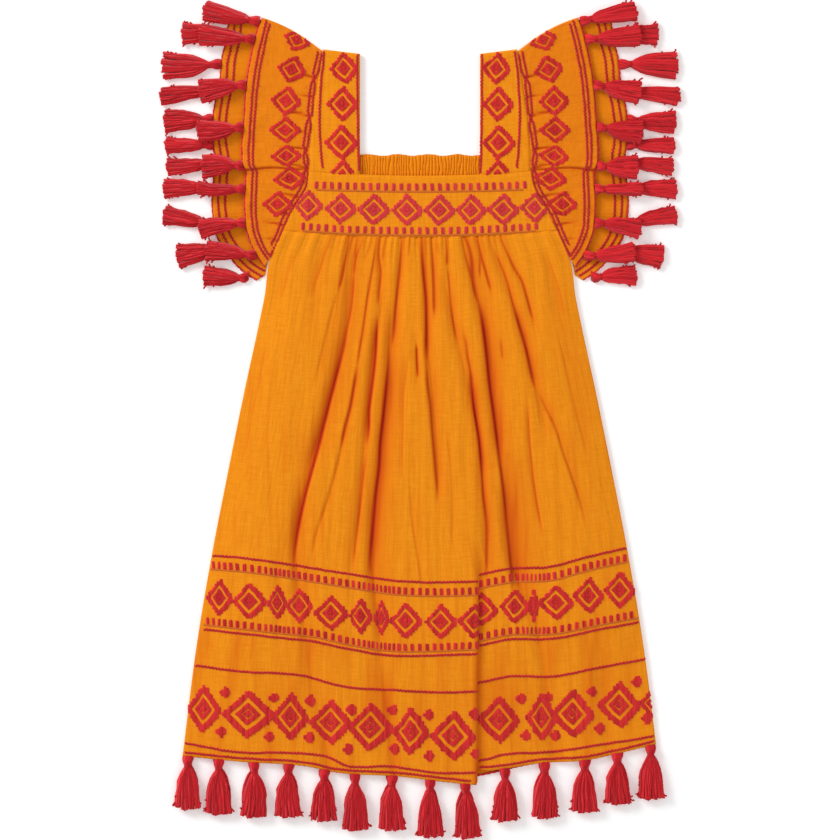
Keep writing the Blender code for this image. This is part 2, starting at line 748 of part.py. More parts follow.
def make_tassel(bm, root, heading, outward, tassel):
    """Lofts a tassel from a face of the braid: knot, tie, crown, then separate locks."""
    start = sum((vertex.co for vertex in root), Vector()) / (4 * MM)
    way = Vector((tassel.tip.x - start.x, tassel.tip.y - start.y, 0)).normalized()
    step_out = outward * HEAD_CLEAR * (1 - way.dot(outward)) ** CLEAR_CURVE
    along = Vector((*tassel.tip, 0)) - step_out - Vector((start.x, start.y, 0))
    scale = along.length / TASSEL_LENGTH
    along.normalize()
    turned = along.dot(outward)
    lateral = heading * turned - outward * along.dot(heading)

    def corner(distance, sideways, up, half_thick):
        place = start + step_out * ease(0.0, TASSEL_FORM[0][0], distance)
        place += along * distance * scale + lateral * sideways
        place.z = between(start.z, tassel.z, ease(0.0, TASSEL_RISES_BY, distance))
        place.z += up * half_thick * tassel.pressed
        return bm.verts.new(place * MM)

    ring = list(root)
    for distance, half_width, half_thick in TASSEL_FORM:
        wide = half_width * scale
        new = [
            corner(distance, -wide, -1, half_thick),
            corner(distance, wide, -1, half_thick),
            corner(distance, wide, 1, half_thick),
            corner(distance, -wide, 1, half_thick),
        ]
        bridge(bm, ring, new)
        ring = new

    width = 2 * SPLIT_HALF_WIDTH * min(1.0, tassel.tip_width / FULL_TIP_WIDTH)
    lock = (width - LOCK_GAP * (tassel.locks - 1)) / tassel.locks
    starts = [-width / 2 + k * (lock + LOCK_GAP) for k in range(tassel.locks)]
    edges = [place for left in starts for place in (left, left + lock)]
    low = [corner(SPLIT_AT, place, -1, half_thick) for place in edges]
    high = [corner(SPLIT_AT, place, 1, half_thick) for place in edges]
    fan(bm, low, ring[0], ring[1])
    fan(bm, high, ring[3], ring[2])
    bm.faces.new((ring[0], ring[3], high[0], low[0]))
    bm.faces.new((ring[1], ring[2], high[-1], low[-1]))
    for k in range(1, 2 * tassel.locks - 1, 2):
        bm.faces.new((low[k], low[k + 1], high[k + 1], high[k]))

    tip_gap = LOCK_GAP * LOCK_SPREAD
    tip_lock = (tassel.tip_width - tip_gap * (tassel.locks - 1)) / tassel.locks
    for k in range(tassel.locks):
        left = -tassel.tip_width / 2 + k * (tip_lock + tip_gap)
        right = left + tip_lock
        end = TASSEL_LENGTH + LOCK_LENGTHS[k]
        face = [low[2 * k], low[2 * k + 1], high[2 * k + 1], high[2 * k]]
        tip = [
            corner(end, left, -1, half_thick),
            corner(end, right, -1, half_thick),
            corner(end, right, 1, half_thick),
            corner(end, left, 1, half_thick),
        ]
        bridge(bm, face, tip)
        bm.faces.new(tip)


def trim_stations(trail, roots):
    """Distances at which the braid has a section: its bends, and both sides of each root."""
    sides = [side for root in roots for side in (root - ROOT_HALF, root + ROOT_HALF)]
    clear = [
        mark for mark in trail.marks
        if all(abs(mark - root) > ROOT_HALF + ROOT_CLEAR for root in roots)
    ]
    return sorted(clear + sides)


def make_trim(name, trail, tassels, finish, collection):
    """A braid along the trail with its tassels."""
    last = trail.marks[-1]
    hung = {}
    for tassel in tassels:
        root = min(last - ROOT_HALF, max(ROOT_HALF, trail.nearest(tassel.root)))
        hung[root] = tassel
    stations = trim_stations(trail, list(hung))
    starts = {stations.index(root - ROOT_HALF): root for root in hung}

    bm = bmesh.new()
    sections = [braid_section(bm, trail, station) for station in stations]
    bm.faces.new(sections[0])
    bm.faces.new(sections[-1])
    for i, (first, second) in enumerate(zip(sections, sections[1:])):
        for k in range(1, 4):
            m = (k + 1) % 4
            bm.faces.new((first[k], first[m], second[m], second[k]))
        face = (first[0], second[0], second[1], first[1])
        if i in starts:
            root = starts[i]
            make_tassel(bm, face, trail.heading(root), trail.outward(root), hung[root])
        else:
            bm.faces.new(face)
    bmesh.ops.recalc_face_normals(bm, faces=bm.faces)
    mesh = bpy.data.meshes.new(name)
    bm.to_mesh(mesh)
    bm.free()
    return add_object(name, mesh, finish, collection)


def make_hem_trims(finish, collection):
    """The front trim, parted where the pleat tucks it away, and the back trim."""
    left, pleat, right = skirt_columns()
    stretches = (
        ("trim_hem_front_right", left[::2] + pleat[:1]),
        ("trim_hem_front_left", pleat[-1:] + right[1::2] + right[-1:]),
    )
    for name, columns in stretches:
        columns = list(dict.fromkeys(columns))
        trail = Trail([front_skirt_point(u, 1.0, fold) for u, fold in columns], True)
        tassels = [
            Tassel((x, read_curve(FRONT_HEM, x)), (tip_x, tip_y), FULL_TIP_WIDTH, Z_TASSEL_HEM)
            for x, tip_x, tip_y in HEM_TASSELS
            if trail.points[0].x - ROOT_HALF < x < trail.points[-1].x + ROOT_HALF
        ]
        make_trim(name, trail, tassels, finish, collection)

    trail = Trail([back_skirt_point(u, 1.0) for u in evenly(-1, 1, BACK_SKIRT_COLUMNS)], True)
    narrower = FULL_TIP_WIDTH - UNDER_NARROWER
    tassels = [
        Tassel((x, read_curve(FRONT_HEM, x)), (tip_x, tip_y + UNDER_SHORTER), narrower,
               Z_TASSEL_UNDER, locks=3, pressed=PRESSED)
        for x, tip_x, tip_y in HEM_TASSELS
    ]
    make_trim("trim_hem_back", trail, tassels, finish, collection)


def make_ruffle_trims(side, word, finish, collection):
    edge = [row[-1] for row in ruffle_rows(side)]
    front = edge[:len(RUFFLE_FRONT)]
    back = edge[BACK_CORNER - len(RUFFLE_BACK):]
    layers = (
        ("front", front, side > 0, RUFFLE_TASSELS_FRONT, Z_TASSEL_FRONT),
        ("back", back, side < 0, RUFFLE_TASSELS_BACK, Z_TASSEL_BACK),
    )
    for label, line, cloth_on_left, table, z in layers:
        tassels = [
            Tassel((side * root_out, root_y), (side * tip_out, tip_y), width, z)
            for root_out, root_y, tip_out, tip_y, width in table
        ]
        if label == "front":
            tassels[-1].z = Z_TASSEL_SHOULDER
        trail = Trail(line, cloth_on_left)
        make_trim(f"trim_ruffle_{label}_{word}", trail, tassels, finish, collection)


def main():
    remove_everything()
    collection = bpy.data.collections.new("tassel_dress")
    bpy.context.scene.collection.children.link(collection)
    make_back_skirt(CLOTH, collection)
    make_front_skirt(CLOTH, collection)
    make_back_yoke(CLOTH, collection)
    make_front_yoke(CLOTH, collection)
    for side, word in ((-1, "right"), (1, "left")):
        make_strap(side, f"strap_{word}", CLOTH, collection)
        make_ruffle(side, f"ruffle_{word}", CLOTH, collection)
        make_ruffle_trims(side, word, TRIM, collection)
    make_hem_trims(TRIM, collection)


main()
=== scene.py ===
# %% [markdown]
# # A child's tassel dress, laid flat
#
# The dress is a marigold cotton voile with crimson embroidery, folded flutter
# sleeves and yarn tassels. It lies on its back on a pale table, and the camera
# looks straight down on it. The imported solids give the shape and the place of
# every piece. This lesson lays fine cloth over them, then sews and trims it.

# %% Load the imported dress
import math
import random

import bpy
import numpy as np
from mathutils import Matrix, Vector, noise


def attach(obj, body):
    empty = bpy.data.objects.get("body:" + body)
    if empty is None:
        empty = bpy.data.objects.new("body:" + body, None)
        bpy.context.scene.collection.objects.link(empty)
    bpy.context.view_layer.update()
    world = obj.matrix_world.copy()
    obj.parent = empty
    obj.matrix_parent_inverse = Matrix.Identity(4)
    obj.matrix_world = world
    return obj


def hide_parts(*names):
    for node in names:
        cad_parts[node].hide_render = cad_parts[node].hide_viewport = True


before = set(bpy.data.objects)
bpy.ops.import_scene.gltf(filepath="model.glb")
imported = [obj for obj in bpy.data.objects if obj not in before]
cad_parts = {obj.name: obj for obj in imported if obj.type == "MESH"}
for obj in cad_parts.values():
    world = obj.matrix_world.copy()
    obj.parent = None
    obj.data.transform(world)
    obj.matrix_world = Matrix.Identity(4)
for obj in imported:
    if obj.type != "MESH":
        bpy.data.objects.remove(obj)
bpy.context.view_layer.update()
MM = 0.001

# %% [markdown]
# ## The camera comes first
#
# A garment is photographed flat from a copy stand, with a long lens far above
# it. Here one pixel of the photograph is 0.85 mm of dress, which is worked out
# from the length of such a dress, so a place read off the photograph turns into
# millimetres on the table by one small function.

# %% Camera and places on the photograph
PIXEL = 0.85
FRAME_PIXELS = 840
ORIGIN_PIXEL = (420.0, 417.5)
CAMERA_HEIGHT = 4.0
SENSOR = 36.0


def place(px, py):
    """Across and height in millimetres of a pixel of the photograph."""
    return (px - ORIGIN_PIXEL[0]) * PIXEL, (ORIGIN_PIXEL[1] - py) * PIXEL


lens = bpy.data.cameras.new("copy_stand")
lens.sensor_width = SENSOR
lens.lens = SENSOR * CAMERA_HEIGHT / (FRAME_PIXELS * PIXEL * MM)
camera = bpy.data.objects.new("copy_stand", lens)
middle_x, middle_y = place(FRAME_PIXELS / 2, FRAME_PIXELS / 2)
camera.location = (middle_x * MM, middle_y * MM, CAMERA_HEIGHT)
bpy.context.scene.collection.objects.link(camera)
bpy.context.scene.camera = camera
print("lens:", round(lens.lens, 1), "mm")

# %% [markdown]
# ## Light and table
#
# Cloth that is only a few millimetres deep needs a low key light to show its
# folds. A wide lamp stands off to the upper left, a weaker one fills from the
# right, and a bright even sky keeps the shadows soft.

# %% Colour, nodes, light and table
def linear(code):
    """An sRGB hex colour as the linear numbers that a socket holds."""
    parts = [int(code[i:i + 2], 16) / 255 for i in (1, 3, 5)]
    return (*[p / 12.92 if p <= 0.04045 else ((p + 0.055) / 1.055) ** 2.4 for p in parts], 1.0)


def add(tree, kind, settings=None, inputs=None):
    """Adds a node with its settings, and sets or links its inputs."""
    node = tree.nodes.new(kind)
    for name, value in (settings or {}).items():
        setattr(node, name, value)
    for name, value in (inputs or {}).items():
        if isinstance(value, bpy.types.NodeSocket):
            tree.links.new(value, node.inputs[name])
        else:
            node.inputs[name].default_value = value
    return node


def lamp(name, size, power, location, target=(0.0, 0.0, 0.0)):
    data = bpy.data.lights.new(name, "AREA")
    data.size = size
    data.energy = power
    obj = bpy.data.objects.new(name, data)
    obj.location = location
    obj.rotation_euler = (Vector(target) - Vector(location)).to_track_quat("-Z", "Y").to_euler()
    bpy.context.scene.collection.objects.link(obj)


scene = bpy.context.scene
scene.view_settings.view_transform = "Standard"
scene.world = bpy.data.worlds.new("studio")
scene.world.use_nodes = True
sky = scene.world.node_tree.nodes["Background"]
sky.inputs["Color"].default_value = (1.0, 1.0, 1.0, 1.0)
sky.inputs["Strength"].default_value = 0.6
lamp("key", 1.5, 72.0, (-2.4, 1.8, 1.75))
lamp("fill", 1.6, 4.0, (1.5, -0.6, 1.5))

table_mesh = bpy.data.meshes.new("table")
TABLE_HALF = 3.0
TABLE_DOWN = -0.0002
table_mesh.from_pydata(
    [(x * TABLE_HALF, y * TABLE_HALF, TABLE_DOWN) for x, y in ((-1, -1), (1, -1), (1, 1), (-1, 1))],
    [], [(0, 1, 2, 3)])
table = bpy.data.objects.new("table", table_mesh)
scene.collection.objects.link(table)
paper = bpy.data.materials.new("matt_white_paper")
paper.use_nodes = True
paper.node_tree.nodes["Principled BSDF"].inputs["Base Color"].default_value = linear("#FFFFFF")
paper.node_tree.nodes["Principled BSDF"].inputs["Roughness"].default_value = 0.9
# A catalogue's paper is lit from beneath as well, so that shadows nearly vanish.
paper.node_tree.nodes["Principled BSDF"].inputs["Emission Color"].default_value = linear("#FFFFFF")
paper.node_tree.nodes["Principled BSDF"].inputs["Emission Strength"].default_value = 0.18
table_mesh.materials.append(paper)

# %% [markdown]
# ## What the cloth is made of
#
# The cloth is a cotton voile: a thin, open, plain weave of uneven yarns, dyed
# marigold and washed so that it crinkles. Its uneven yarns show as short streaks
# across and down, and its crinkles as soft ridges that run down the cloth. Both
# are finer than a pixel on the real cloth, so they are drawn two or three times
# as coarse. The pattern reads the cloth's own map, in metres, so that it fans
# out with the skirt. Light that falls into a fold bounces from wall to wall and
# comes out redder, so shade is painted into the colour: each sheet carries a
# number called deep, which is the painted shade at each point, mostly from how
# far down in a crease it lies, and the colour darkens and reddens with it.

# %% Cloth material
def cotton_voile(name, lit, shade, crinkle):
    """Washed cotton voile: slubs both ways, crinkles that run down the cloth, and shade painted in from
    the deep number.
    """
    material = bpy.data.materials.new(name)
    material.use_nodes = True
    tree = material.node_tree
    shader = tree.nodes["Principled BSDF"]
    cloth_map = add(tree, "ShaderNodeUVMap", {"uv_map": "cloth"}).outputs["UV"]
    streaks = []
    for scale in ((900.0, 70.0, 1.0), (60.0, 820.0, 1.0), (170.0, 16.0, 1.0)):
        way = add(tree, "ShaderNodeMapping", None, {"Vector": cloth_map, "Scale": scale})
        streaks.append(add(tree, "ShaderNodeTexNoise", {"noise_dimensions": "2D"}, {
            "Vector": way.outputs["Vector"], "Scale": 1.0, "Detail": 2.0}).outputs["Fac"])
    weave = add(tree, "ShaderNodeMath", {"operation": "ADD"}, {0: streaks[0], 1: streaks[1]})
    tone = add(tree, "ShaderNodeMapRange", None, {
        "Value": weave.outputs["Value"], "From Min": 0.7, "From Max": 1.3})
    woven = add(tree, "ShaderNodeMix", {"data_type": "RGBA"}, {
        "Factor": tone.outputs["Result"], 6: linear(shade), 7: linear(lit)})
    # Painted shade: as deep rises the colour turns a deeper orange, then dark red at the bottom of
    # creases.
    deep = add(tree, "ShaderNodeAttribute", {"attribute_name": "deep"}).outputs["Fac"]
    painted_shade_ramp = add(tree, "ShaderNodeValToRGB", None, {"Fac": deep})
    painted_shade_ramp.color_ramp.elements[0].color = linear("#E26A08")
    painted_shade_ramp.color_ramp.elements[1].color = linear("#B01C0A")
    painted_shade_ramp.color_ramp.elements[0].position = 0.3
    share = add(tree, "ShaderNodeMapRange", None, {"Value": deep, "From Min": 0.0, "From Max": 0.45})
    colour = add(tree, "ShaderNodeMix", {"data_type": "RGBA"}, {
        "Factor": share.outputs["Result"], 6: woven.outputs[2], 7: painted_shade_ramp.outputs["Color"]})
    fine = add(tree, "ShaderNodeBump", None, {
        "Strength": 0.35, "Distance": 0.0001, "Height": weave.outputs["Value"]})
    soft = add(tree, "ShaderNodeBump", None, {
        "Strength": crinkle, "Distance": 0.0012, "Height": streaks[2],
        "Normal": fine.outputs["Normal"]})
    tree.links.new(colour.outputs[2], shader.inputs["Base Color"])
    tree.links.new(soft.outputs["Normal"], shader.inputs["Normal"])
    shader.inputs["Roughness"].default_value = 0.85
    shader.inputs["Specular IOR Level"].default_value = 0.12
    shader.inputs["Sheen Weight"].default_value = 0.03
    shader.inputs["Sheen Roughness"].default_value = 0.5
    return material


voile = cotton_voile("washed_cotton_voile", "#F79716", "#ED890C", 0.6)
shirred_voile = cotton_voile("shirred_cotton_voile", "#F59412", "#EC870A", 0.25)

# %% [markdown]
# ## Curves through short tables
#
# A pattern cutter draws a smooth line through a few measured points. The same
# is done here: each line of the dress is a short table of millimetres, and one
# function reads the smooth line through it.

# %% Helpers for lines
def mix(low, high, share):
    return low + (high - low) * share


def ease(low, high, value):
    share = np.clip((value - low) / (high - low), 0.0, 1.0)
    return share * share * (3 - 2 * share)


def through(table, at):
    """The smooth line through a table's first two columns, read at many places."""
    rows = sorted(row[:2] for row in table)
    x, y = np.array(rows, float).T
    slope = np.diff(y) / np.diff(x)
    lean = np.concatenate(([slope[0]], (slope[1:] + slope[:-1]) / 2, [slope[-1]]))
    at = np.clip(np.asarray(at, float), x[0], x[-1])
    i = np.clip(np.searchsorted(x, at) - 1, 0, len(x) - 2)
    span = x[i + 1] - x[i]
    t = (at - x[i]) / span
    return (y[i] * (2 * t**3 - 3 * t**2 + 1) + lean[i] * span * (t**3 - 2 * t**2 + t)
            + y[i + 1] * (3 * t**2 - 2 * t**3) + lean[i + 1] * span * (t**3 - t**2))


def wander(x, y, seed):
    """Smooth chance from -1 to 1 at each place of two arrays."""
    x, y = np.broadcast_arrays(x, y)
    flat = [noise.noise((a, b, seed)) for a, b in zip(np.ravel(x), np.ravel(y))]
    return np.array(flat).reshape(np.shape(x))


# %% Lay a sheet of cloth
CLOTH = 0.7
# Heights above the table in millimetres: the front layer, the back layer and the ruffles' two.
FRONT_LEVEL, BACK_LEVEL = 4.5, 0.35
RUFFLE_LEVEL, RUFFLE_BACK_LEVEL = 4.0, 0.6


def lay_sheet(name, points, cloth_map, material, deep=None):
    """A closed sheet of cloth from a grid of its middle points in millimetres."""
    rows, columns = points.shape[:2]
    index = np.arange(rows * columns).reshape(rows, columns)
    faces = np.stack((index[:-1, :-1], index[:-1, 1:], index[1:, 1:], index[1:, :-1]), -1)
    mesh = bpy.data.meshes.new(name)
    mesh.from_pydata((points.reshape(-1, 3) * MM).tolist(), [], faces.reshape(-1, 4).tolist())
    corners = mesh.uv_layers.new(name="cloth")
    order = np.zeros(len(mesh.loops), np.int32)
    mesh.loops.foreach_get("vertex_index", order)
    corners.data.foreach_set("uv", (cloth_map.reshape(-1, 2) * MM)[order].ravel())
    # The deep column holds the shade painted into the cloth's colour.
    column = mesh.attributes.new("deep", "FLOAT", "POINT")
    column.data.foreach_set("value", (points[..., 2] * 0 if deep is None else deep).ravel())
    mesh.materials.append(material)
    mesh.shade_smooth()
    if mesh.polygons[len(mesh.polygons) // 2].normal.z < 0:
        mesh.flip_normals()
    obj = bpy.data.objects.new(name, mesh)
    scene.collection.objects.link(obj)
    wall = obj.modifiers.new("Wall", "SOLIDIFY")
    wall.thickness = CLOTH * MM
    wall.offset = 0.0
    wall.use_quality_normals = True
    return settle(obj)


def settle(obj):
    """Turns the result of an object's modifiers into its plain mesh, pressed flat on the table."""
    evaluated = obj.evaluated_get(bpy.context.evaluated_depsgraph_get())
    mesh = bpy.data.meshes.new_from_object(evaluated)
    places = np.zeros(3 * len(mesh.vertices), np.float32)
    mesh.vertices.foreach_get("co", places)
    places[2::3] = np.maximum(places[2::3], 0.0)
    mesh.vertices.foreach_set("co", places)
    obj.modifiers.clear()
    obj.data = mesh
    mesh.name = obj.name
    print(obj.name, "has", sum(len(p.vertices) - 2 for p in mesh.polygons), "triangles")
    return obj


# %% [markdown]
# ## The front skirt
#
# The front skirt is one wide panel, gathered into the yoke. Under the yoke it
# breaks into long folds that fan out and fade, and at the lower right a knife
# pleat tucks the right side beneath the left. Every point of the panel is known
# by how far across (u) and how far down (v) the cut cloth it lies, so the folds
# are sums of narrow valleys along lines from the table.

# %% Sizes of the skirt
SEAM = 0.3
CLOTH_LENGTH = 460.0
YOKE_TOP, YOKE_TOP_RISE, YOKE_TOP_HALF = 205.3, 3.6, 93.0
YOKE_FOOT, YOKE_FOOT_RISE, YOKE_FOOT_HALF = 153.2, 5.6, 116.0
SKIRT_SIDE = (
    (158.8, 116.4), (132.0, 127.9), (104.0, 131.8), (83.0, 136.0), (19.0, 149.8),
    (-66.0, 167.0), (-108.0, 175.2), (-193.0, 189.6), (-290.0, 202.0),
)
FRONT_HEM = (
    (-202.0, -286.0), (-150.0, -291.0), (-97.0, -294.5), (-70.0, -300.0), (-20.0, -302.5),
    (25.0, -305.5), (48.0, -304.5), (100.0, -293.5), (140.0, -290.0), (168.0, -284.0),
    (202.0, -276.0),
)
PLEAT_LINE = ((-60.0, 50.0), (-118.0, 54.5), (-160.0, 50.0), (-200.0, 48.5), (-304.0, 48.5))
PLEAT_FORM = (
    (-2.4, -0.9, 0.0), (-0.8, 0.0, 0.9), (0.8, -0.9, 1.8),
    (2.4, -1.9, 2.7), (4.0, -0.9, 3.6), (5.6, 2.5, 3.6),
)
PLEAT_DEPTH = 3.6
# The pleat lifts its upper side and drops its lower one over this distance.
PLEAT_REACH = 32.0
HEM_HALF = float(through(SKIRT_SIDE, FRONT_HEM[0][1]))
PLEAT_U = PLEAT_LINE[-1][1] / HEM_HALF

# Gathers under the yoke: how many, how far they run down, and how high they stand.
GATHERS, GATHER_LENGTH, GATHER_HEIGHT = 18, 42.0, 0.6
SMALL_GATHERS, SMALL_GATHER_LENGTH, SMALL_GATHER_HEIGHT = 47, 17.0, 0.4
# A fold that starts above the first height starts at the seam, and one that ends
# below the second runs off the hem. Other folds fade in and out over a distance.
AT_SEAM, AT_HEM, FADE = YOKE_FOOT - 4, -274.0, 22.0

# Folds: depth, reach to the left and to the right, line as (across, height). The depth also sets the
# shade painted into each valley.
FOLDS = (
    (1.8, 6, 9, ((-73, 154), (-82, 136), (-88, 110), (-94, 70))),
    (4.6, 6, 13, ((-58, 152), (-59, 90), (-68, 48), (-81, -2), (-94, -38))),
    (4.4, 6, 13, ((-101, -66), (-105, -110), (-103, -158))),
    (3.0, 4, 7, ((-34, 152), (-34, 85), (-40, 55), (-45, 2), (-51, -72), (-54, -112))),
    (5.0, 5, 12, ((-25, 82), (-30, 12), (-36, -42), (-42, -104), (-33, -195))),
    (2.8, 4, 7, ((-14, 152), (-18, 122), (-21, 90), (-24, 60))),
    (3.2, 4, 8, ((1, 152), (3, 131), (5, 80), (9, 38), (14, -20), (16, -60))),
    (2.0, 4, 4, ((-3, 72), (-3, 55), (-2, 30))),
    (3.6, 5, 6, ((22, 112), (30, 74), (42, 24), (48, -8), (53, -60), (56, -118))),
    (5.0, 5, 14, ((39, 152), (43, 132), (50, 98), (57, 62), (61, 12), (66, -30))),
    (5.0, 5, 14, ((70, -62), (73, -95), (78, -126), (91, -158))),
    (3.4, 5, 9, ((58, 152), (68, 127), (82, 88), (90, 58), (98, 28), (107, -12))),
    (2.6, 4, 7, ((69, 152), (76, 136), (86, 116), (94, 90), (99, 70))),
    (1.6, 10, 10, ((112, 120), (121, 78), (132, 40), (140, -10))),
    (2.2, 5, 5, ((-122, -118), (-121, -150), (-121, -196))),
    (2.6, 9, 9, ((-102, -150), (-90, -230), (-76, -302))),
    (1.8, 9, 9, ((-34, -200), (-28, -250), (-22, -305))),
    (3.0, 7, 10, ((92, -150), (104, -200), (110, -245), (114, -293))),
    (1.8, 10, 10, ((150, -160), (156, -220), (160, -288))),
)

# Creases of the front skirt, read from the photograph: how dark the shade painted
# into it is, how far the cloth drops in millimetres, how far the soft side reaches
# in pixels (to the left if it is negative), and the line in pixels from top to bottom.
CREASES = (
    (0.35, 0.8, -9, ((333, 237), (326, 253), (320, 271), (315.5, 283), (313, 300))),
    (0.75, 1.2, -3, ((349.2, 237), (348.2, 245), (345, 262), (341.8, 279), (337.6, 294))),
    (0.22, 0.8, 9, ((341.8, 279), (337.6, 294), (331, 315), (326, 336), (320, 361), (313, 388))),
    (0.4, 1.6, -14, ((355, 265), (354, 279), (353, 294), (351, 311), (347, 330), (344, 347),
                    (338, 368))),
    (1.0, 2.2, -7, ((349, 320), (347, 330), (344, 347), (338.5, 368), (331, 397), (326, 417),
                    (319.4, 444),
                    (312.5, 469.5), (305.7, 495), (299, 525), (294, 558), (292, 585))),
    (0.5, 0.9, -3, ((363, 241), (358.7, 251), (355.5, 262), (354, 275))),
    (0.5, 0.9, 3, ((371.5, 240), (369, 249), (364, 258))),
    (0.4, 0.7, 3, ((357, 239), (355.5, 250), (355, 262))),
    (0.5, 1.2, 3, ((376.6, 238), (374.5, 255), (370.8, 279), (367, 302), (363.4, 328),
                    (359.7, 351), (355, 379))),
    (0.8, 1.6, 4, ((358, 362), (355, 380), (350.4, 407), (344.7, 429), (340, 453))),
    (0.3, 1.2, 5, ((346, 425), (340, 453), (334, 477), (327, 501), (318, 527), (311, 560))),
    (0.55, 1.0, -3, ((379.7, 238), (378.7, 256), (380.8, 273), (379.2, 290), (378, 312))),
    (0.95, 1.8, -5, ((378, 306), (376.8, 330), (376, 349), (374.5, 367), (371.5, 392), (369.3, 410),
                     (368.8, 430), (366, 453))),
    (0.45, 1.2, -7, ((367, 445), (364, 474), (360.7, 504), (356, 541), (352, 580))),
    (0.65, 1.2, 4, ((401.4, 239), (401, 248), (399.7, 267), (397.6, 288), (395.5, 309),
                    (393.9, 330), (391.5, 350))),
    (1.0, 2.4, 10, ((388.8, 338), (388.7, 361), (387, 379), (383.7, 411), (380.2, 442),
                    (379, 467), (376.2, 490),
                    (373.4, 522), (370, 557), (369, 590))),
    (0.35, 0.7, 2, ((409.8, 238), (409.4, 246), (408.8, 256))),
    (0.4, 0.7, 2, ((386.5, 239), (384, 246), (383, 262))),
    (0.3, 0.6, 2, ((417, 238), (418, 243), (419, 252))),
    (0.9, 1.8, 5, ((422.1, 239), (422.1, 254), (423.7, 277), (425.8, 298), (426.3, 324),
                    (425.8, 346), (426.4, 370))),
    (0.6, 1.6, 6, ((426, 352), (427.5, 386), (429.8, 403), (431.5, 426), (434, 455), (436, 478),
                    (439, 512))),
    (0.7, 1.2, 2, ((416.4, 342), (417, 361), (418, 380))),
    (0.3, 0.8, -5, ((410.3, 345), (407, 370), (404, 393), (403, 437), (402, 485))),
    (0.7, 1.4, 7, ((431, 238), (432.6, 261), (433.7, 288), (434.2, 322))),
    (0.35, 0.6, 3, ((437, 238), (438, 246), (439.5, 258))),
    (0.8, 1.0, 3, ((445.2, 238), (446, 244), (446.8, 252), (446.8, 267))),
    (0.4, 1.2, 7, ((446.8, 258), (449.5, 288), (451.6, 309), (454, 330), (459, 350))),
    (0.5, 1.0, 3, ((462, 238), (465.3, 256), (469.5, 272), (472, 282))),
    (0.55, 1.4, 5, ((463, 330), (465.3, 340), (467.4, 356), (470.5, 372), (471.8, 390))),
    (1.0, 2.2, 6, ((470.5, 368), (471.8, 386), (474, 409), (478.6, 437), (480.8, 460), (482, 480))),
    (0.6, 1.8, 8, ((479.5, 448), (481.5, 470), (483, 495), (486.5, 524), (486.5, 552), (486, 590))),
    (0.75, 1.4, 3, ((464.2, 237), (469.5, 249), (471.6, 261), (472.1, 277), (474.7, 293),
                    (478.5, 306))),
    (1.0, 2.6, 7, ((474.7, 290), (480, 309), (483.2, 330), (486.3, 356), (488.6, 379),
                    (493.5, 414), (498, 449),
                   (501.5, 478))),
    (0.75, 2.6, 22, ((497, 440), (501.5, 478), (505, 506), (508.4, 541), (511, 570), (514, 600))),
    (0.5, 0.8, 2, ((476.8, 238), (480, 256), (479.5, 272), (480, 280))),
    (0.65, 1.0, 4, ((477.4, 239), (482, 259), (487.4, 279), (492, 296))),
    (0.45, 1.0, 4, ((492.5, 247), (500, 264), (506.3, 280), (511.6, 300), (516, 316))),
    (0.8, 1.8, 7, ((511.6, 300), (516.8, 319), (522, 336), (527.4, 356), (531.6, 377), (536, 394))),
    (0.4, 1.6, 8, ((533, 380), (544, 405), (555.5, 429), (563.5, 455), (571.6, 478),
                    (580.7, 506), (586, 535))),
    (0.6, 1.0, 3, ((500.5, 238), (507.4, 254), (514.7, 270), (521, 280), (526.3, 296),
                    (530.5, 312), (536, 328))),
    (0.4, 0.7, 3, ((500.4, 338), (501.5, 350), (502.5, 362))),
    (0.45, 0.9, -3, ((526.8, 391), (530.2, 449), (533.7, 483), (539.4, 518), (545, 545))),
    (0.25, 0.8, -9, ((300, 248), (293, 262), (287, 280), (280, 305))),
    (0.25, 1.0, -9, ((545, 246), (552, 268), (560, 292), (566, 320))),
    (0.22, 0.9, 6, ((556, 330), (566, 370), (575, 410), (588, 460))),
    (0.22, 0.7, -6, ((268, 330), (262, 370), (252, 420), (243, 470))),
    (0.25, 0.7, 5, ((410, 480), (412, 520), (418, 560), (424, 600))),
    (0.2, 0.6, 4, ((445, 420), (450, 460), (452, 510), (451, 560))),
)


def yoke_top(across):
    return YOKE_TOP + YOKE_TOP_RISE * (across / YOKE_TOP_HALF) ** 2


def yoke_foot(across):
    return YOKE_FOOT + YOKE_FOOT_RISE * (across / YOKE_FOOT_HALF) ** 2


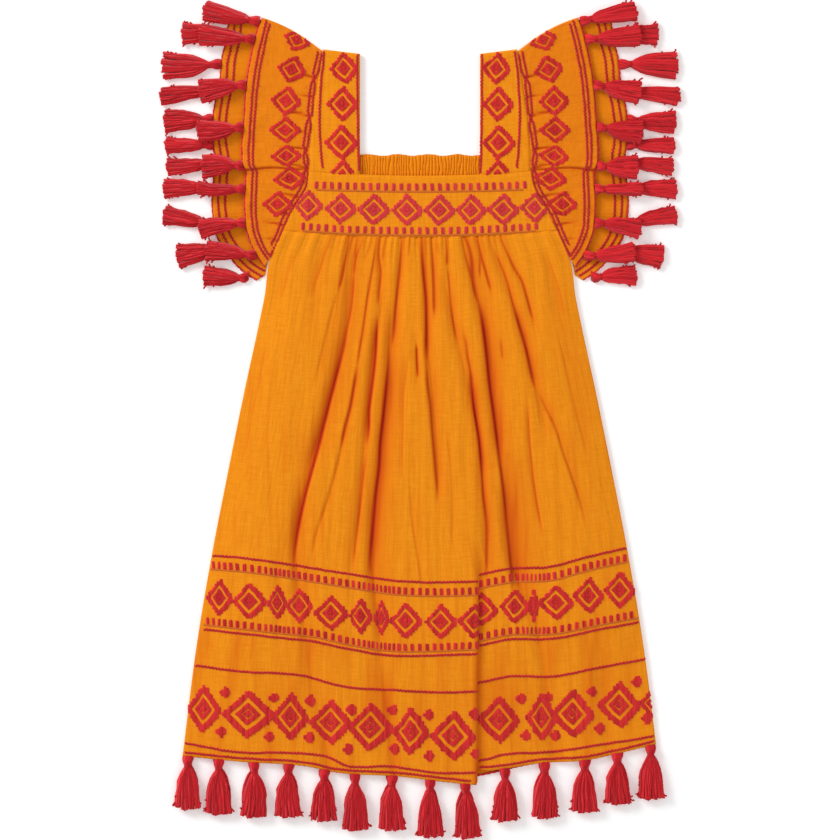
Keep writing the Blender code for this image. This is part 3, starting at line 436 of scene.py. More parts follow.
def fold_depth(across, height):
    """How far the folds lower the cloth: a soft valley with a sharp crease in it, and the shade painted
    into each valley and crease.
    """
    total = np.zeros_like(across)
    deep = np.zeros_like(across)
    lit_seam = ease(YOKE_FOOT + 2, YOKE_FOOT - 30, height)
    for depth, left, right, line in FOLDS:
        top, bottom = line[0][1], line[-1][1]
        centre = through([(y, x) for x, y in line], height)
        reach = np.where(across < centre, left, right)
        off = np.abs(across - centre) / reach
        valley = 0.62 * np.exp(-(off**2)) + 0.38 * np.exp(-3.2 * off)
        above = 1.0 if top > AT_SEAM else ease(top + FADE, top - FADE, height)
        below = 1.0 if bottom < AT_HEM else ease(bottom - FADE, bottom + FADE, height)
        shown = depth * valley * above * below
        total += 0.75 * shown
        # Painted shade in each fold's valley.
        deep += 0.06 * shown
    for dark, drop, soft, line in CREASES:
        spots = [place(px, py) for px, py in line]
        top, bottom = spots[0][1], spots[-1][1]
        off = across - through([(y, x) for x, y in spots], height)
        inner = np.exp(-((off / ((0.7 + 0.8 * dark) * mix(0.7, 1.0, lit_seam))) ** 2))
        outer = np.exp(-((np.abs(off) / (abs(soft) * PIXEL)) ** 1.5))
        band = np.where(off * soft > 0, outer, inner)
        run = 0.22 * (top - bottom)
        above = 1.0 if top > AT_SEAM else ease(top, top - run, height)
        shown = above * ease(bottom, bottom + run, height)
        total += drop * band * shown
        # Painted shade along each crease: a dark core and a softer band on its soft side, lighter near
        # the yoke seam.
        seen = shown * mix(0.5, 1.0, lit_seam)
        deep = 1 - (1 - deep) * (1 - dark * seen * np.clip(0.6 * inner + 0.46 * band, 0, 1))
    # Painted shade in soft patches low on the skirt, where folds lie near the hem.
    painted_hem_shade = np.clip(wander(across / 15, height / 70, 53.0) + 0.15, 0, 1)
    deep = np.clip(deep + 0.3 * painted_hem_shade * ease(-165, -195, height), 0, 1)
    return total, deep


# %% Lay the front skirt
# Height of the cloth at the side seams, at the hem and at its highest.
SIDE_LEVEL, HEM_LEVEL, CREST_LEVEL = 2.2, 4.3, 7.6


def front_skirt(columns, rows):
    """Middle of the front skirt's cloth, its map and its painted shade, for columns (u, fold) and rows
    v.
    """
    u = np.array([c[0] for c in columns])[None, :]
    folds = [c[1] or (0.0, 0.0, -1.0) for c in columns]
    flat, folded, drop = (np.array(part)[None, :] for part in zip(*folds))
    turned = drop >= 0
    v = np.asarray(rows)[:, None]
    top = yoke_foot(u * YOKE_FOOT_HALF) - SEAM
    height = mix(top, through(FRONT_HEM, u * HEM_HALF), v)
    closed = ease(0.52, 0.72, v)
    away = np.abs(u - PLEAT_U) * through(SKIRT_SIDE, height)
    side = np.where(turned, 2 * drop / PLEAT_DEPTH - 1, np.where(u > PLEAT_U, 1.0, -1.0))
    height = height + side * 6.0 * closed * np.exp(-away / PLEAT_REACH)
    half = through(SKIRT_SIDE, height)
    shift = (through([(y, x) for y, x in PLEAT_LINE], height) - PLEAT_U * half) * closed
    across = u * half + shift * np.exp(-((away / 24) ** 2))
    tucked = ease(0.35, 1.0, closed)
    across = across + np.where(turned, mix(flat * half / HEM_HALF, folded, tucked), 0.0)

    edge = 1 - np.abs(u)
    dome = 1 - (1 - np.minimum(1.0, edge / 0.34)) ** 2.4
    crest = mix(FRONT_LEVEL, mix(HEM_LEVEL, CREST_LEVEL, ease(1.0, 0.72, v)), ease(0.0, 0.22, v))
    under = ease(0.0, 0.07, v)
    folds_in, deep = fold_depth(across, height)
    folds_in = folds_in * mix(0.25, 1.0, under)
    folds_in = folds_in * (1 - closed * np.exp(-((away / 14) ** 2)))
    drop_down = top - height
    swell = 0.75 + 0.25 * np.sin(7 * u + 1)
    long_gathers = np.exp(-((drop_down / (GATHER_LENGTH * (1 + 0.35 * np.sin(11 * u)))) ** 2))
    z = mix(mix(FRONT_LEVEL, SIDE_LEVEL, under), crest, dome)
    z = z + GATHER_HEIGHT * long_gathers * swell * np.sin(np.pi * GATHERS * (u + 1))
    z = z - dome * folds_in
    small = np.sin(np.pi * SMALL_GATHERS * (u + 1) + 2.5 * np.sin(9 * u))
    small = small * ease(0.7, 0.5, np.abs(u)) * SMALL_GATHER_HEIGHT
    z = z + small * np.exp(-((drop_down / (SMALL_GATHER_LENGTH + 8 * np.sin(23 * u))) ** 2)) * dome
    z = z + 0.55 * dome * wander(across / 9, height / 95, 3.0) * ease(0.02, 0.2, v)
    z = z + 0.22 * dome * wander(across / 3.4, height / 34, 8.0) * ease(0.05, 0.3, v)
    z = z + 0.30 * ease(9.5, 8.0, height - through(FRONT_HEM, u * HEM_HALF))
    floor = np.where(edge < 0.02, SIDE_LEVEL, SIDE_LEVEL + 0.1)
    z = np.where(z > floor + 1, z, floor + np.exp(np.minimum(z - floor - 1, 0.0)))
    z = z - side * 1.8 * ease(0.0, 0.5, closed) * np.exp(-away / PLEAT_REACH)
    z = z - 1.3 * (v < 0)
    # Painted shadow on the cloth beside the pleat's fold.
    deep = deep + 0.3 * closed * np.where(turned | (side > 0), np.exp(-away / 5), 0.0)
    # Painted shade in soft streaks down the cloth, stronger towards the hem.
    painted_crinkle_shade = np.clip(wander(across / 4.2, height / 55, 12.0), 0, 1)
    deep = deep + 0.2 * painted_crinkle_shade * mix(ease(0.05, 0.3, v), 1.3, ease(0.65, 0.75, v))
    cloth_map = np.stack((u * HEM_HALF + 0 * height + flat, (1 - v) * CLOTH_LENGTH + 0 * height), -1)
    return np.stack((across, height, z), -1), cloth_map, np.clip(deep, 0, 1)


SKIRT_COLUMNS = 400
SKIRT_ROWS = 110
spread = np.linspace(-1, 1, SKIRT_COLUMNS + 1)
spread = spread * (0.75 + 0.25 * spread**2)
skirt_columns = [(u, None) for u in spread if u < PLEAT_U - 4.4 / HEM_HALF]
skirt_columns += [(PLEAT_U, fold) for fold in PLEAT_FORM]
skirt_columns += [(u, None) for u in spread if u > PLEAT_U + 8.1 / HEM_HALF]
# The first row is tucked beneath the yoke and the last one covers the braid.
skirt_rows = [-0.0025, *np.linspace(0, 1, SKIRT_ROWS + 1), 1.0032]
skirt_points, skirt_map, skirt_painted_shade = front_skirt(skirt_columns, skirt_rows)
skirt_points[..., 2] += 0.25
skirt = lay_sheet("front_skirt_voile", skirt_points, skirt_map, voile, skirt_painted_shade)

# %% [markdown]
# ## The back skirt
#
# The back panel lies flat beneath the front and shows only as a thin edge, but
# it is cloth all the same, with a hem and a small ripple.

# %% Lay the back skirt
u, v = np.meshgrid(np.linspace(-1, 1, 91), np.linspace(0, 1, 61))
height = mix(yoke_foot(u * YOKE_FOOT_HALF) - SEAM, through(FRONT_HEM, u * HEM_HALF) + 1.0, v)
across = u * through(SKIRT_SIDE, height)
ripple = 0.35 + 0.16 * (1 + wander(across / 14, height / 70, 5.0))
back_skirt = lay_sheet("back_skirt_voile", np.stack((across, height, ripple), -1),
                       np.stack((u * HEM_HALF, (1 - v) * CLOTH_LENGTH), -1), voile)

# %% [markdown]
# ## The bodice
#
# The front yoke is a double layer of voile, so it lies smooth. Two straps run
# from it over the shoulders. The back yoke is drawn up on rows of elastic: its
# cloth stands in fine upright ribs, and its top edge curls into a small scallop.

# %% Lay the yoke and the straps
ARMHOLE = (
    (314.0, 82.4), (283.0, 87.4), (255.0, 91.8), (225.0, 94.2), (210.0, 94.2),
    (195.0, 97.2), (179.0, 106.0), (159.4, 116.0), (132.2, 128.3), (116.0, 131.2),
)
BACK_NECK = 223.0
NECK_HALF = 51.0
STRAP_INNER_TOP, STRAP_OUTER_TOP = 307.0, 310.8
STRAP_LEVEL = RUFFLE_LEVEL + 0.25


def armhole(height):
    return through(ARMHOLE, height)


def yoke_grid(columns, rows, top_of, inset):
    u, down = np.meshgrid(np.linspace(-1, 1, columns + 1), np.linspace(0, 1, rows + 1))
    top_x = u * (armhole(YOKE_TOP + YOKE_TOP_RISE) - inset)
    foot_x = u * (armhole(YOKE_FOOT + YOKE_FOOT_RISE) - inset)
    height = mix(top_of(top_x), yoke_foot(foot_x), down)
    return u * (armhole(height) - inset), height, u, down


across, height, u, down = yoke_grid(200, 44, yoke_top, 0.1)
z = FRONT_LEVEL + 0.45 + 0.18 * np.sin(across / 11 + 2 * down)
z += 0.16 * wander(across / 13, height / 11, 2.0)
z -= 0.5 * (ease(0.04, 0.0, down) + ease(0.965, 1.0, down))
yoke = lay_sheet("front_yoke_voile", np.stack((across, height, z), -1),
                 np.stack((across, height), -1), voile)

across, height, u, down = yoke_grid(560, 26, lambda x: BACK_NECK + 0.7 * np.sin(23 * x / 94), 0.8)
RIBS = 72
wobble = 4.2 * wander(across / 13, height / 40, 6.0) + 1.5 * wander(across / 4, height / 7, 16.0)
puff = np.abs(np.sin(np.pi / 2 * RIBS * (u + 1) + wobble))
pull = 0.6 + 0.4 * wander(across / 3.5, height / 6, 26.0)
elastic = 0.5 + 0.5 * np.cos(2 * np.pi * (BACK_NECK - height) / 6.5)
z = 0.5 + np.sqrt(puff) * mix(2.1, 1.5, elastic ** 3) * (0.8 + 0.2 * pull)
height = height + 0.6 * wander(across / 5, 0 * height, 7.0) * ease(0.2, 0.0, down)
# Painted shade in the valleys between the ribs, and a little all over.
crease = np.exp(-((puff / 0.3) ** 2)) * np.clip(pull, 0, 1) * ease(0.0, 0.12, down)
back_yoke = lay_sheet("back_yoke_voile", np.stack((across, height, z), -1),
                      np.stack((across * 1.8, height), -1), shirred_voile,
                      0.75 * crease + 0.05)


def strap(side, name):
    """One band from the yoke up over the shoulder and down behind."""
    front_top = yoke_top(NECK_HALF) + SEAM
    front_out = yoke_top(94.2) + SEAM
    rows = [(front_top - 1.2, front_out - 1.2, 3.7)]
    for share in np.linspace(0, 1, 50):
        z = mix(FRONT_LEVEL, RUFFLE_LEVEL, ease(0.0, 0.4, share)) + 0.25
        rows.append((mix(front_top, STRAP_INNER_TOP, share),
                     mix(front_out, STRAP_OUTER_TOP, share), z))
    radius = (STRAP_LEVEL - BACK_LEVEL) / 2
    for angle in np.linspace(0, np.pi, 12)[1:-1]:
        reach = 1.6 * math.sin(angle)
        rows.append((STRAP_INNER_TOP + reach, STRAP_OUTER_TOP + reach,
                     STRAP_LEVEL - radius * (1 - math.cos(angle))))
    for share in np.linspace(0, 1, 40):
        foot = BACK_NECK + 1.0
        rows.append((mix(STRAP_INNER_TOP, foot, share), mix(STRAP_OUTER_TOP, foot, share), BACK_LEVEL))
    inner, outer, z = (np.array(part)[:, None] for part in zip(*rows))
    t = np.linspace(0, 1, 15)[None, :]
    out = mix(NECK_HALF, armhole(outer) - 0.2, t)
    height = mix(inner, outer, t)
    z = z + 0.22 * (1 + wander(out / 12 + side, height / 15, 4.0)) * (z > 2) - 0.1
    z = z - 0.25 * ease(0.05, 0.0, t) * (z > 2)
    length = np.concatenate(([0.0], np.cumsum(np.abs(np.diff(inner[:, 0])) + 0.5)))[:, None]
    return lay_sheet(name, np.stack((side * out, height, z), -1),
                     np.stack((out, length + 0 * out), -1), voile)


straps = [strap(-1, "right_strap_voile"), strap(1, "left_strap_voile")]

# %% [markdown]
# ## The ruffles
#
# Each ruffle is one long curved ribbon, sewn into the armhole and folded over
# at the shoulder, so that a front layer lies on a wider back layer. Tucks fan
# out from the seam where the ribbon was eased in, and one deep crease crosses
# the front layer where it has settled on itself.

# %% Lay the ruffles
# Front layer: height at the seam, out and height of the edge, level, edge lift.
RUFFLE_FRONT = (
    (133.5, 131.6, 128.6, 2.9, 0.0), (146.0, 140.2, 142.0, 3.8, 0.2),
    (159.4, 146.4, 158.0, 4.2, 1.2), (170.0, 148.0, 172.0, 4.4, 0.2),
    (181.0, 148.2, 186.0, 4.4, 1.3), (192.0, 147.6, 198.0, 4.4, 0.2),
    (205.0, 147.2, 209.0, 4.4, 0.1), (209.5, 149.8, 214.5, 4.5, 1.7),
    (220.0, 150.6, 224.0, 4.3, 0.9), (232.0, 150.2, 237.0, 4.3, 0.1),
    (247.0, 149.0, 251.0, 4.2, 1.2), (262.0, 148.0, 268.0, 4.2, 0.1),
    (276.0, 146.4, 285.0, 4.1, 1.2), (290.0, 143.4, 303.0, 4.1, 0.2),
    (302.0, 139.4, 321.0, 4.0, 0.8), (309.5, 134.6, 338.0, 4.0, 0.0),
)
RUFFLE_BACK = (
    (309.5, 134.6, 338.0, 0.6, 0.0), (307.0, 147.5, 339.6, 0.6, 0.1),
    (304.5, 160.0, 339.4, 0.6, 0.0), (298.0, 164.0, 320.0, 0.6, 0.6),
    (288.0, 168.0, 303.0, 0.6, 0.9), (275.0, 169.4, 286.0, 0.6, 0.1),
    (261.0, 173.2, 268.0, 0.6, 0.9), (247.0, 175.6, 251.0, 0.6, 0.2),
    (232.0, 175.4, 235.0, 0.6, 0.9), (217.0, 173.4, 219.0, 0.6, 0.1),
    (203.0, 174.6, 203.0, 0.6, 0.9), (190.0, 176.0, 188.0, 0.6, 0.2),
    (176.0, 175.4, 172.0, 0.6, 0.9), (162.0, 171.4, 153.0, 0.6, 0.1),
    (148.0, 158.6, 134.0, 0.6, 0.6), (134.0, 148.4, 124.0, 0.6, 0.1),
    (121.0, 137.4, 117.0, 0.6, 0.0),
)
# The shoulder fold is where both tables meet: height at the seam, out, height of the edge.
SHOULDER = RUFFLE_BACK[0][:3]
RUFFLE_STEPS = 120
# How far the seam lies off the armhole in the front and in the back layer.
SEAM_FRONT, SEAM_BACK = 0.25, 1.2
BOW = 3.4
# Tucks at the armhole seam: height, how far they run out, depth.
TUCKS = ((288, 16, 0.9), (272, 12, 0.6), (256, 20, 1.1), (241, 12, 0.6), (227, 18, 1.0),
         (212, 15, 0.9), (199, 18, 0.7), (187, 14, 1.0), (172, 12, 1.0), (163, 16, 0.9),
         (150, 10, 0.6))


def fine_rows(table, count):
    """A table's rows read smoothly at more places."""
    at = np.linspace(0, len(table) - 1, count)
    columns = [through(list(enumerate(column)), at) for column in zip(*table)]
    return np.stack(columns, -1)


def ruffle_rows():
    """Rows of a ruffle: the table's columns, the seam gap, the bow and the layer."""
    front = fine_rows(RUFFLE_FRONT, RUFFLE_STEPS)
    back = fine_rows(RUFFLE_BACK, RUFFLE_STEPS)
    last = RUFFLE_STEPS - 1
    rows = []
    for i, row in enumerate(front):
        bow = BOW * float(ease(12, 15, 15 * i / last))
        rows.append((*row, SEAM_FRONT, bow, 1.0))
    radius = (RUFFLE_LEVEL - RUFFLE_BACK_LEVEL) / 2
    seam_y, out, edge_y = SHOULDER
    for angle in np.linspace(0, np.pi, 10)[1:-1]:
        reach, fall = radius * math.sin(angle), radius * (1 - math.cos(angle))
        rows.append((seam_y + reach, out, edge_y + reach, RUFFLE_LEVEL - fall, 0.0,
                     mix(SEAM_FRONT, SEAM_BACK, angle / np.pi), BOW, 1 - angle / np.pi))
    for i, row in enumerate(back):
        bow = BOW * (1 - float(ease(0, 3, 16 * i / last)))
        rows.append((*row, SEAM_BACK, bow, 0.0))
    return np.array(rows)


RUFFLE_ROWS = ruffle_rows()


def ruffle(side, name):
    inner_y, outer_out, outer_y, level, lift, seam, bow, front = (
        RUFFLE_ROWS[:, k:k + 1] for k in range(8))
    t = np.array([-0.02, *np.linspace(0, 1, 47)])[None, :]
    on_front = front > 0.5
    upper = ease(0.6, 1.0, front)
    out = mix(armhole(inner_y) + seam, outer_out, t)
    height = mix(inner_y, outer_y, t) + bow * np.sin(np.pi * t)
    lift = np.where(front < 0.5, np.maximum(lift, 1.3) * t * t, lift * t)
    z = level + lift * t + np.where(on_front, 0.25, -0.25)
    seen = upper * ease(0.0, 0.03, t)
    z = z - 1.2 * (t < 0) * on_front
    gone = out - armhole(inner_y)
    # deep is the shade painted into the colour: dark lines in the tucks and the settled crease, the
    # hollows of crumples and puckers, and an even shade over each layer.
    deep = 0 * z
    for seam_y, reach, depth in TUCKS:
        off = height - (seam_y + 0.3 * gone - 0.006 * gone**2)
        line = np.where(off < 0, np.exp(-np.abs(off) / 3.4), np.exp(-((off / 0.8) ** 2)))
        line = seen * depth * line * np.exp(-((gone / (reach * 1.2)) ** 4))
        z = z - 1.3 * line
        deep = deep + 0.75 * line * np.exp(-(((off + 0.5) / 0.9) ** 2))
    settled = height - (214.6 + 0.9 * np.sin(out / 9) - 0.02 * out)
    shown = upper * np.exp(-np.abs(settled) / 18)
    z = z + shown * 1.3 * (ease(-1.0, 0.6, settled) - 0.5)
    line = np.exp(-(((settled + 0.9) / 0.9) ** 2))
    deep = deep + 0.62 * upper * line * ease(-0.1, 0.2, t)
    creased = height - (183 + 0.42 * (out - 112))
    z = z - upper * 0.8 * np.exp(-((creased / 2.2) ** 2)) * ease(40, 20, gone)
    z = z + 0.5 * wander(out / 9 + 7 * side, height / 8, 1.5 + side) * np.where(on_front, 1.0, 0.4)
    pucker = wander(inner_y / 3.2 + 0 * t, 3 * t + 5 * side, 31.0)
    z = z + 0.35 * pucker * np.exp(-(((1 - t) / 0.2) ** 2)) * upper
    crumple = wander(out / 2.6 + 9 * side, height / 3.1, 41.0)
    z = z + 0.3 * crumple * upper
    # Painted shade over the whole front layer, a little more on the left ruffle than on the right.
    shade = 0.19 + 0.01 * side
    deep = deep + shade + 0.14 * np.clip(-crumple, 0, 1)
    deep = deep + 0.2 * np.clip(-pucker, 0, 1) * ease(0.7, 0.95, t)
    # The back layer takes one even painted shade.
    deep = np.where(on_front, deep, 0.12)
    z = np.where(front < 0.5, np.maximum(z, 0.36), z)
    ripple = 0.9 * wander(inner_y / 7 + 0 * t, 0 * t + front, 9.0 + side) * t**3 * ease(1.0, 0.9, 0 * t)
    length = np.concatenate(([0.0], np.cumsum(np.abs(np.diff(outer_y[:, 0])) + 0.3)))[:, None]
    out = out + ripple * 0.6
    return lay_sheet(name, np.stack((side * out, height, z), -1),
                     np.stack((length + 0 * out, out), -1), voile, np.clip(deep, 0, 1))


ruffles = [ruffle(-1, "right_ruffle_voile"), ruffle(1, "left_ruffle_voile")]

# %% [markdown]
# ## Thread
#
# The embroidery, the braid and the tassels are all cotton yarn: soft, matt and
# slightly fuzzy, with each strand catching the light a little differently. The
# strands keep a number of their own, called tone, and the material reads it.

# %% Yarn material
def cotton_yarn(name, lit, shade):
    """Matt cotton yarn whose strands differ a little in tone."""
    material = bpy.data.materials.new(name)
    material.use_nodes = True
    tree = material.node_tree
    shader = tree.nodes["Principled BSDF"]
    tone = add(tree, "ShaderNodeAttribute", {"attribute_name": "tone"}).outputs["Fac"]
    where = add(tree, "ShaderNodeTexCoord").outputs["Object"]
    fibre = add(tree, "ShaderNodeTexNoise", None, {"Vector": where, "Scale": 900.0, "Detail": 2.0})
    both = add(tree, "ShaderNodeMath", {"operation": "MULTIPLY_ADD"}, {
        0: fibre.outputs["Fac"], 1: 0.5, 2: tone})
    share = add(tree, "ShaderNodeMapRange", None, {
        "Value": both.outputs["Value"], "From Min": 0.1, "From Max": 1.3})
    colour = add(tree, "ShaderNodeMix", {"data_type": "RGBA"}, {
        "Factor": share.outputs["Result"], 6: linear(shade), 7: linear(lit)})
    bump = add(tree, "ShaderNodeBump", None, {
        "Strength": 0.4, "Distance": 0.0002, "Height": fibre.outputs["Fac"]})
    tree.links.new(colour.outputs[2], shader.inputs["Base Color"])
    tree.links.new(bump.outputs["Normal"], shader.inputs["Normal"])
    shader.inputs["Roughness"].default_value = 0.8
    shader.inputs["Specular IOR Level"].default_value = 0.25
    shader.inputs["Sheen Weight"].default_value = 0.15
    return material


tassel_yarn = cotton_yarn("crimson_tassel_cotton", "#F02C36", "#BC0F1A")
skirt_floss = cotton_yarn("crimson_embroidery_floss", "#EB3430", "#B11618")
sewing_thread = cotton_yarn("rust_sewing_thread", "#E07A14", "#CE5E12")
yoke_floss = cotton_yarn("raspberry_embroidery_floss", "#EC4142", "#BD282E")

# %% [markdown]
# ## From lines to yarn
#
# Stitches, braid and tassel strands are drawn first as plain lines: points and
# the edges that join them, each point with a thickness and a tone. One tree of
# Geometry Nodes turns any such lines into yarn. A second tree does the same for
# stitches, after it has dropped every point onto the cloth below it, so that the
# embroidery follows each fold. Points that miss the cloth, or would land on a
# layer above, are taken away.

# %% The yarn trees
def new_tree(name, sockets):
    tree = bpy.data.node_groups.new(name, "GeometryNodeTree")
    tree.interface.new_socket("Geometry", in_out="INPUT", socket_type="NodeSocketGeometry")
    for socket, kind in sockets:
        tree.interface.new_socket(socket, in_out="INPUT", socket_type=kind)
    tree.interface.new_socket("Geometry", in_out="OUTPUT", socket_type="NodeSocketGeometry")
    return tree, tree.nodes.new("NodeGroupInput").outputs, tree.nodes.new("NodeGroupOutput")


def finish_tree(tree, lines, given, output):
    """Thickens lines to yarn, gives it its material and makes it one real mesh."""
    thick = add(tree, "GeometryNodeInputNamedAttribute", {"data_type": "FLOAT"}, {"Name": "thick"})
    curve = add(tree, "GeometryNodeMeshToCurve", None, {"Mesh": lines})
    sized = add(tree, "GeometryNodeSetCurveRadius", None, {
        "Curve": curve.outputs["Curve"], "Radius": thick.outputs["Attribute"]})
    ring = add(tree, "GeometryNodeCurvePrimitiveCircle", None, {
        "Resolution": given["Sides"], "Radius": MM})
    yarn = add(tree, "GeometryNodeCurveToMesh", None, {
        "Curve": sized.outputs["Curve"], "Profile Curve": ring.outputs["Curve"], "Fill Caps": True})
    smooth = add(tree, "GeometryNodeSetShadeSmooth", None, {"Geometry": yarn.outputs["Mesh"]})
    real = add(tree, "GeometryNodeRealizeInstances", None, {"Geometry": smooth.outputs[0]})
    dyed = add(tree, "GeometryNodeSetMaterial", None, {
        "Geometry": real.outputs[0], "Material": given["Material"]})
    tree.links.new(dyed.outputs[0], output.inputs["Geometry"])
    return tree


tree, given, output = new_tree("yarn", (("Sides", "NodeSocketInt"), ("Material", "NodeSocketMaterial")))
yarn_tree = finish_tree(tree, given["Geometry"], given, output)

tree, given, output = new_tree("stitches", (
    ("Cloth", "NodeSocketObject"), ("Lowest", "NodeSocketFloat"), ("Highest", "NodeSocketFloat"),
    ("Sides", "NodeSocketInt"), ("Material", "NodeSocketMaterial")))
cloth_below = add(tree, "GeometryNodeObjectInfo", None, {"Object": given["Cloth"]})
position = add(tree, "GeometryNodeInputPosition")
above = add(tree, "ShaderNodeVectorMath", {"operation": "MULTIPLY_ADD"}, {
    0: position.outputs[0], 1: (1.0, 1.0, 0.0), 2: (0.0, 0.0, 0.1)})
fall = add(tree, "GeometryNodeRaycast", None, {
    "Target Geometry": cloth_below.outputs["Geometry"], "Source Position": above.outputs[0],
    "Ray Direction": (0.0, 0.0, -1.0), "Ray Length": 0.2})
landing = add(tree, "ShaderNodeSeparateXYZ", None, {0: fall.outputs["Hit Position"]})
too_high = add(tree, "FunctionNodeCompare", {"data_type": "FLOAT", "operation": "GREATER_THAN"}, {
    0: landing.outputs["Z"], 1: given["Highest"]})
too_low = add(tree, "FunctionNodeCompare", {"data_type": "FLOAT", "operation": "LESS_THAN"}, {
    0: landing.outputs["Z"], 1: given["Lowest"]})
missed = add(tree, "FunctionNodeBooleanMath", {"operation": "NOT"}, {0: fall.outputs["Is Hit"]})
wrong = add(tree, "FunctionNodeBooleanMath", {"operation": "OR"}, {
    0: too_high.outputs[0], 1: too_low.outputs[0]})
gone = add(tree, "FunctionNodeBooleanMath", {"operation": "OR"}, {
    0: wrong.outputs[0], 1: missed.outputs[0]})
lift = add(tree, "GeometryNodeInputNamedAttribute", {"data_type": "FLOAT"}, {"Name": "lift"})
raised = add(tree, "ShaderNodeVectorMath", {"operation": "SCALE"}, {
    0: fall.outputs["Hit Normal"], "Scale": lift.outputs["Attribute"]})
landed = add(tree, "ShaderNodeVectorMath", {"operation": "ADD"}, {
    0: fall.outputs["Hit Position"], 1: raised.outputs[0]})
dropped = add(tree, "GeometryNodeSetPosition", None, {
    "Geometry": given["Geometry"], "Position": landed.outputs[0], "Selection": fall.outputs["Is Hit"]})
kept = add(tree, "GeometryNodeDeleteGeometry", {"domain": "POINT"}, {
    "Geometry": given["Geometry"], "Selection": gone.outputs[0]})
tree.links.new(kept.outputs[0], dropped.inputs["Geometry"])
stitch_tree = finish_tree(tree, dropped.outputs[0], given, output)


# %% Lines that become yarn
class Lines:
    """Plain lines in millimetres, each point with its thickness, lift and tone."""

    def __init__(self, seed):
        self.chance = random.Random(seed)
        self.points, self.edges, self.values = [], [], []

    def add(self, points, thick, lifts=None, tone=None):
        tone = self.chance.random() if tone is None else tone
        first = len(self.points)
        for i, point in enumerate(points):
            self.points.append(point)
            size = thick[i] if hasattr(thick, "__len__") else thick
            self.values.append((size, lifts[i] * MM if lifts else 0.0, tone))
            if i:
                self.edges.append((first + i - 1, first + i))

    def stitch(self, a, b, thick=0.36, high=0.2, tone=None):
        """One stitch: it rises from the cloth, lies on it and goes back in."""
        middle = ((a[0] + b[0]) / 2, (a[1] + b[1]) / 2)
        self.add([a, middle, b], thick, (-0.12, high, -0.12), tone)

    def spin(self, name, tree, material, sides, **inputs):
        """Turns the lines into a mesh of yarn."""
        mesh = bpy.data.meshes.new(name)
        places = [(p[0] * MM, p[1] * MM, (p[2] if len(p) > 2 else 0.0) * MM) for p in self.points]
        mesh.from_pydata(places, self.edges, [])
        for k, label in enumerate(("thick", "lift", "tone")):
            column = mesh.attributes.new(label, "FLOAT", "POINT")
            column.data.foreach_set("value", [row[k] for row in self.values])
        obj = bpy.data.objects.new(name, mesh)
        scene.collection.objects.link(obj)
        modifier = obj.modifiers.new(tree.name, "NODES")
        modifier.node_group = tree
        keys = {item.name: item.identifier for item in tree.interface.items_tree
                if item.in_out == "INPUT"}
        for label, value in {"Material": material, "Sides": sides, **inputs}.items():
            modifier[keys[label]] = value
        return settle(obj)


# %% [markdown]
# ## Tassels
#
# A tassel is a hank of yarn folded over the braid and tied. Below the tie it
# spreads in three or four locks, and its ends are cut by eye, so no two are the
# same length. Each strand is a line from the tie to its tip. The knot above the
# tie is the same yarn seen as a small ball, with a few turns wound round it.

# %% Where the tassels hang
TASSEL_LENGTH = 45.0
FULL_TIP = 22.8
# Hem: root across, tip across, tip height.
HEM_TASSELS = (
    (-196.6, -197.0, -331.9), (-170.9, -170.6, -336.2), (-141.4, -141.4, -338.7),
    (-111.0, -111.6, -338.7), (-81.3, -81.3, -342.1), (-54.9, -54.4, -349.8),
    (-23.2, -23.5, -349.8), (9.0, 9.2, -355.7), (38.6, 40.6, -356.6), (72.3, 72.0, -342.1),
    (106.3, 105.9, -339.6), (139.9, 140.1, -334.5), (167.8, 168.4, -327.7),
    (196.2, 196.6, -323.4),
)
# Ruffles: root out, root height, tip out, tip height, width at the tip.
RUFFLE_TASSELS_FRONT = (
    (141.6, 136.6, 181.8, 141.2, 17.0), (148.6, 165.4, 187.0, 159.4, 16.0),
    (148.6, 194.0, 188.8, 194.2, 11.6), (150.6, 214.0, 185.0, 212.6, 21.0),
    (150.6, 246.0, 188.8, 242.6, 19.6), (148.4, 283.5, 187.2, 276.0, 20.4),
    (142.4, 321.0, 186.8, 325.0, 18.6), (136.0, 337.0, 183.4, 345.6, 17.0),
)
RUFFLE_TASSELS_BACK = (
    (162.6, 327.0, 202.0, 326.0, 18.6), (169.4, 301.0, 218.4, 298.8, 24.0),
    (172.6, 276.6, 220.2, 272.6, 15.0), (175.6, 254.0, 217.0, 251.2, 20.0),
    (175.8, 231.0, 216.0, 231.0, 13.6), (174.6, 216.0, 214.8, 212.6, 14.6),
    (176.2, 194.6, 217.6, 194.0, 16.6), (176.4, 165.6, 217.6, 172.6, 15.6),
    (167.4, 144.6, 206.4, 136.6, 20.0), (144.6, 120.4, 183.6, 120.6, 17.4),
)
# Outline of a tassel below its tie: distance from the braid, half width, half depth.
BODY = ((8.4, 1.5, 1.2), (9.8, 2.4, 1.5), (12.4, 4.3, 1.9), (16.5, 6.5, 2.0), (21.5, 8.4, 2.1),
        (27.0, 9.5, 2.0), (33.0, 10.3, 1.9), (39.0, 11.1, 1.8), (45.0, 11.9, 1.6))
THICKNESS = (0.32, 0.38, 0.46, 0.5, 0.5, 0.5, 0.5, 0.46, 0.3)
HEAD = ((0.2, 3.5), (1.8, 3.9), (4.0, 3.5), (6.2, 2.6), (8.6, 1.7))
LEVEL_OF_STRANDS = 0.72
HEAD_STRANDS, WRAPS, STRAYS = 18, 4, 5
# Strands turned by this angle, each from the last, fill a round bundle evenly.
GOLDEN_ANGLE = 2.39996


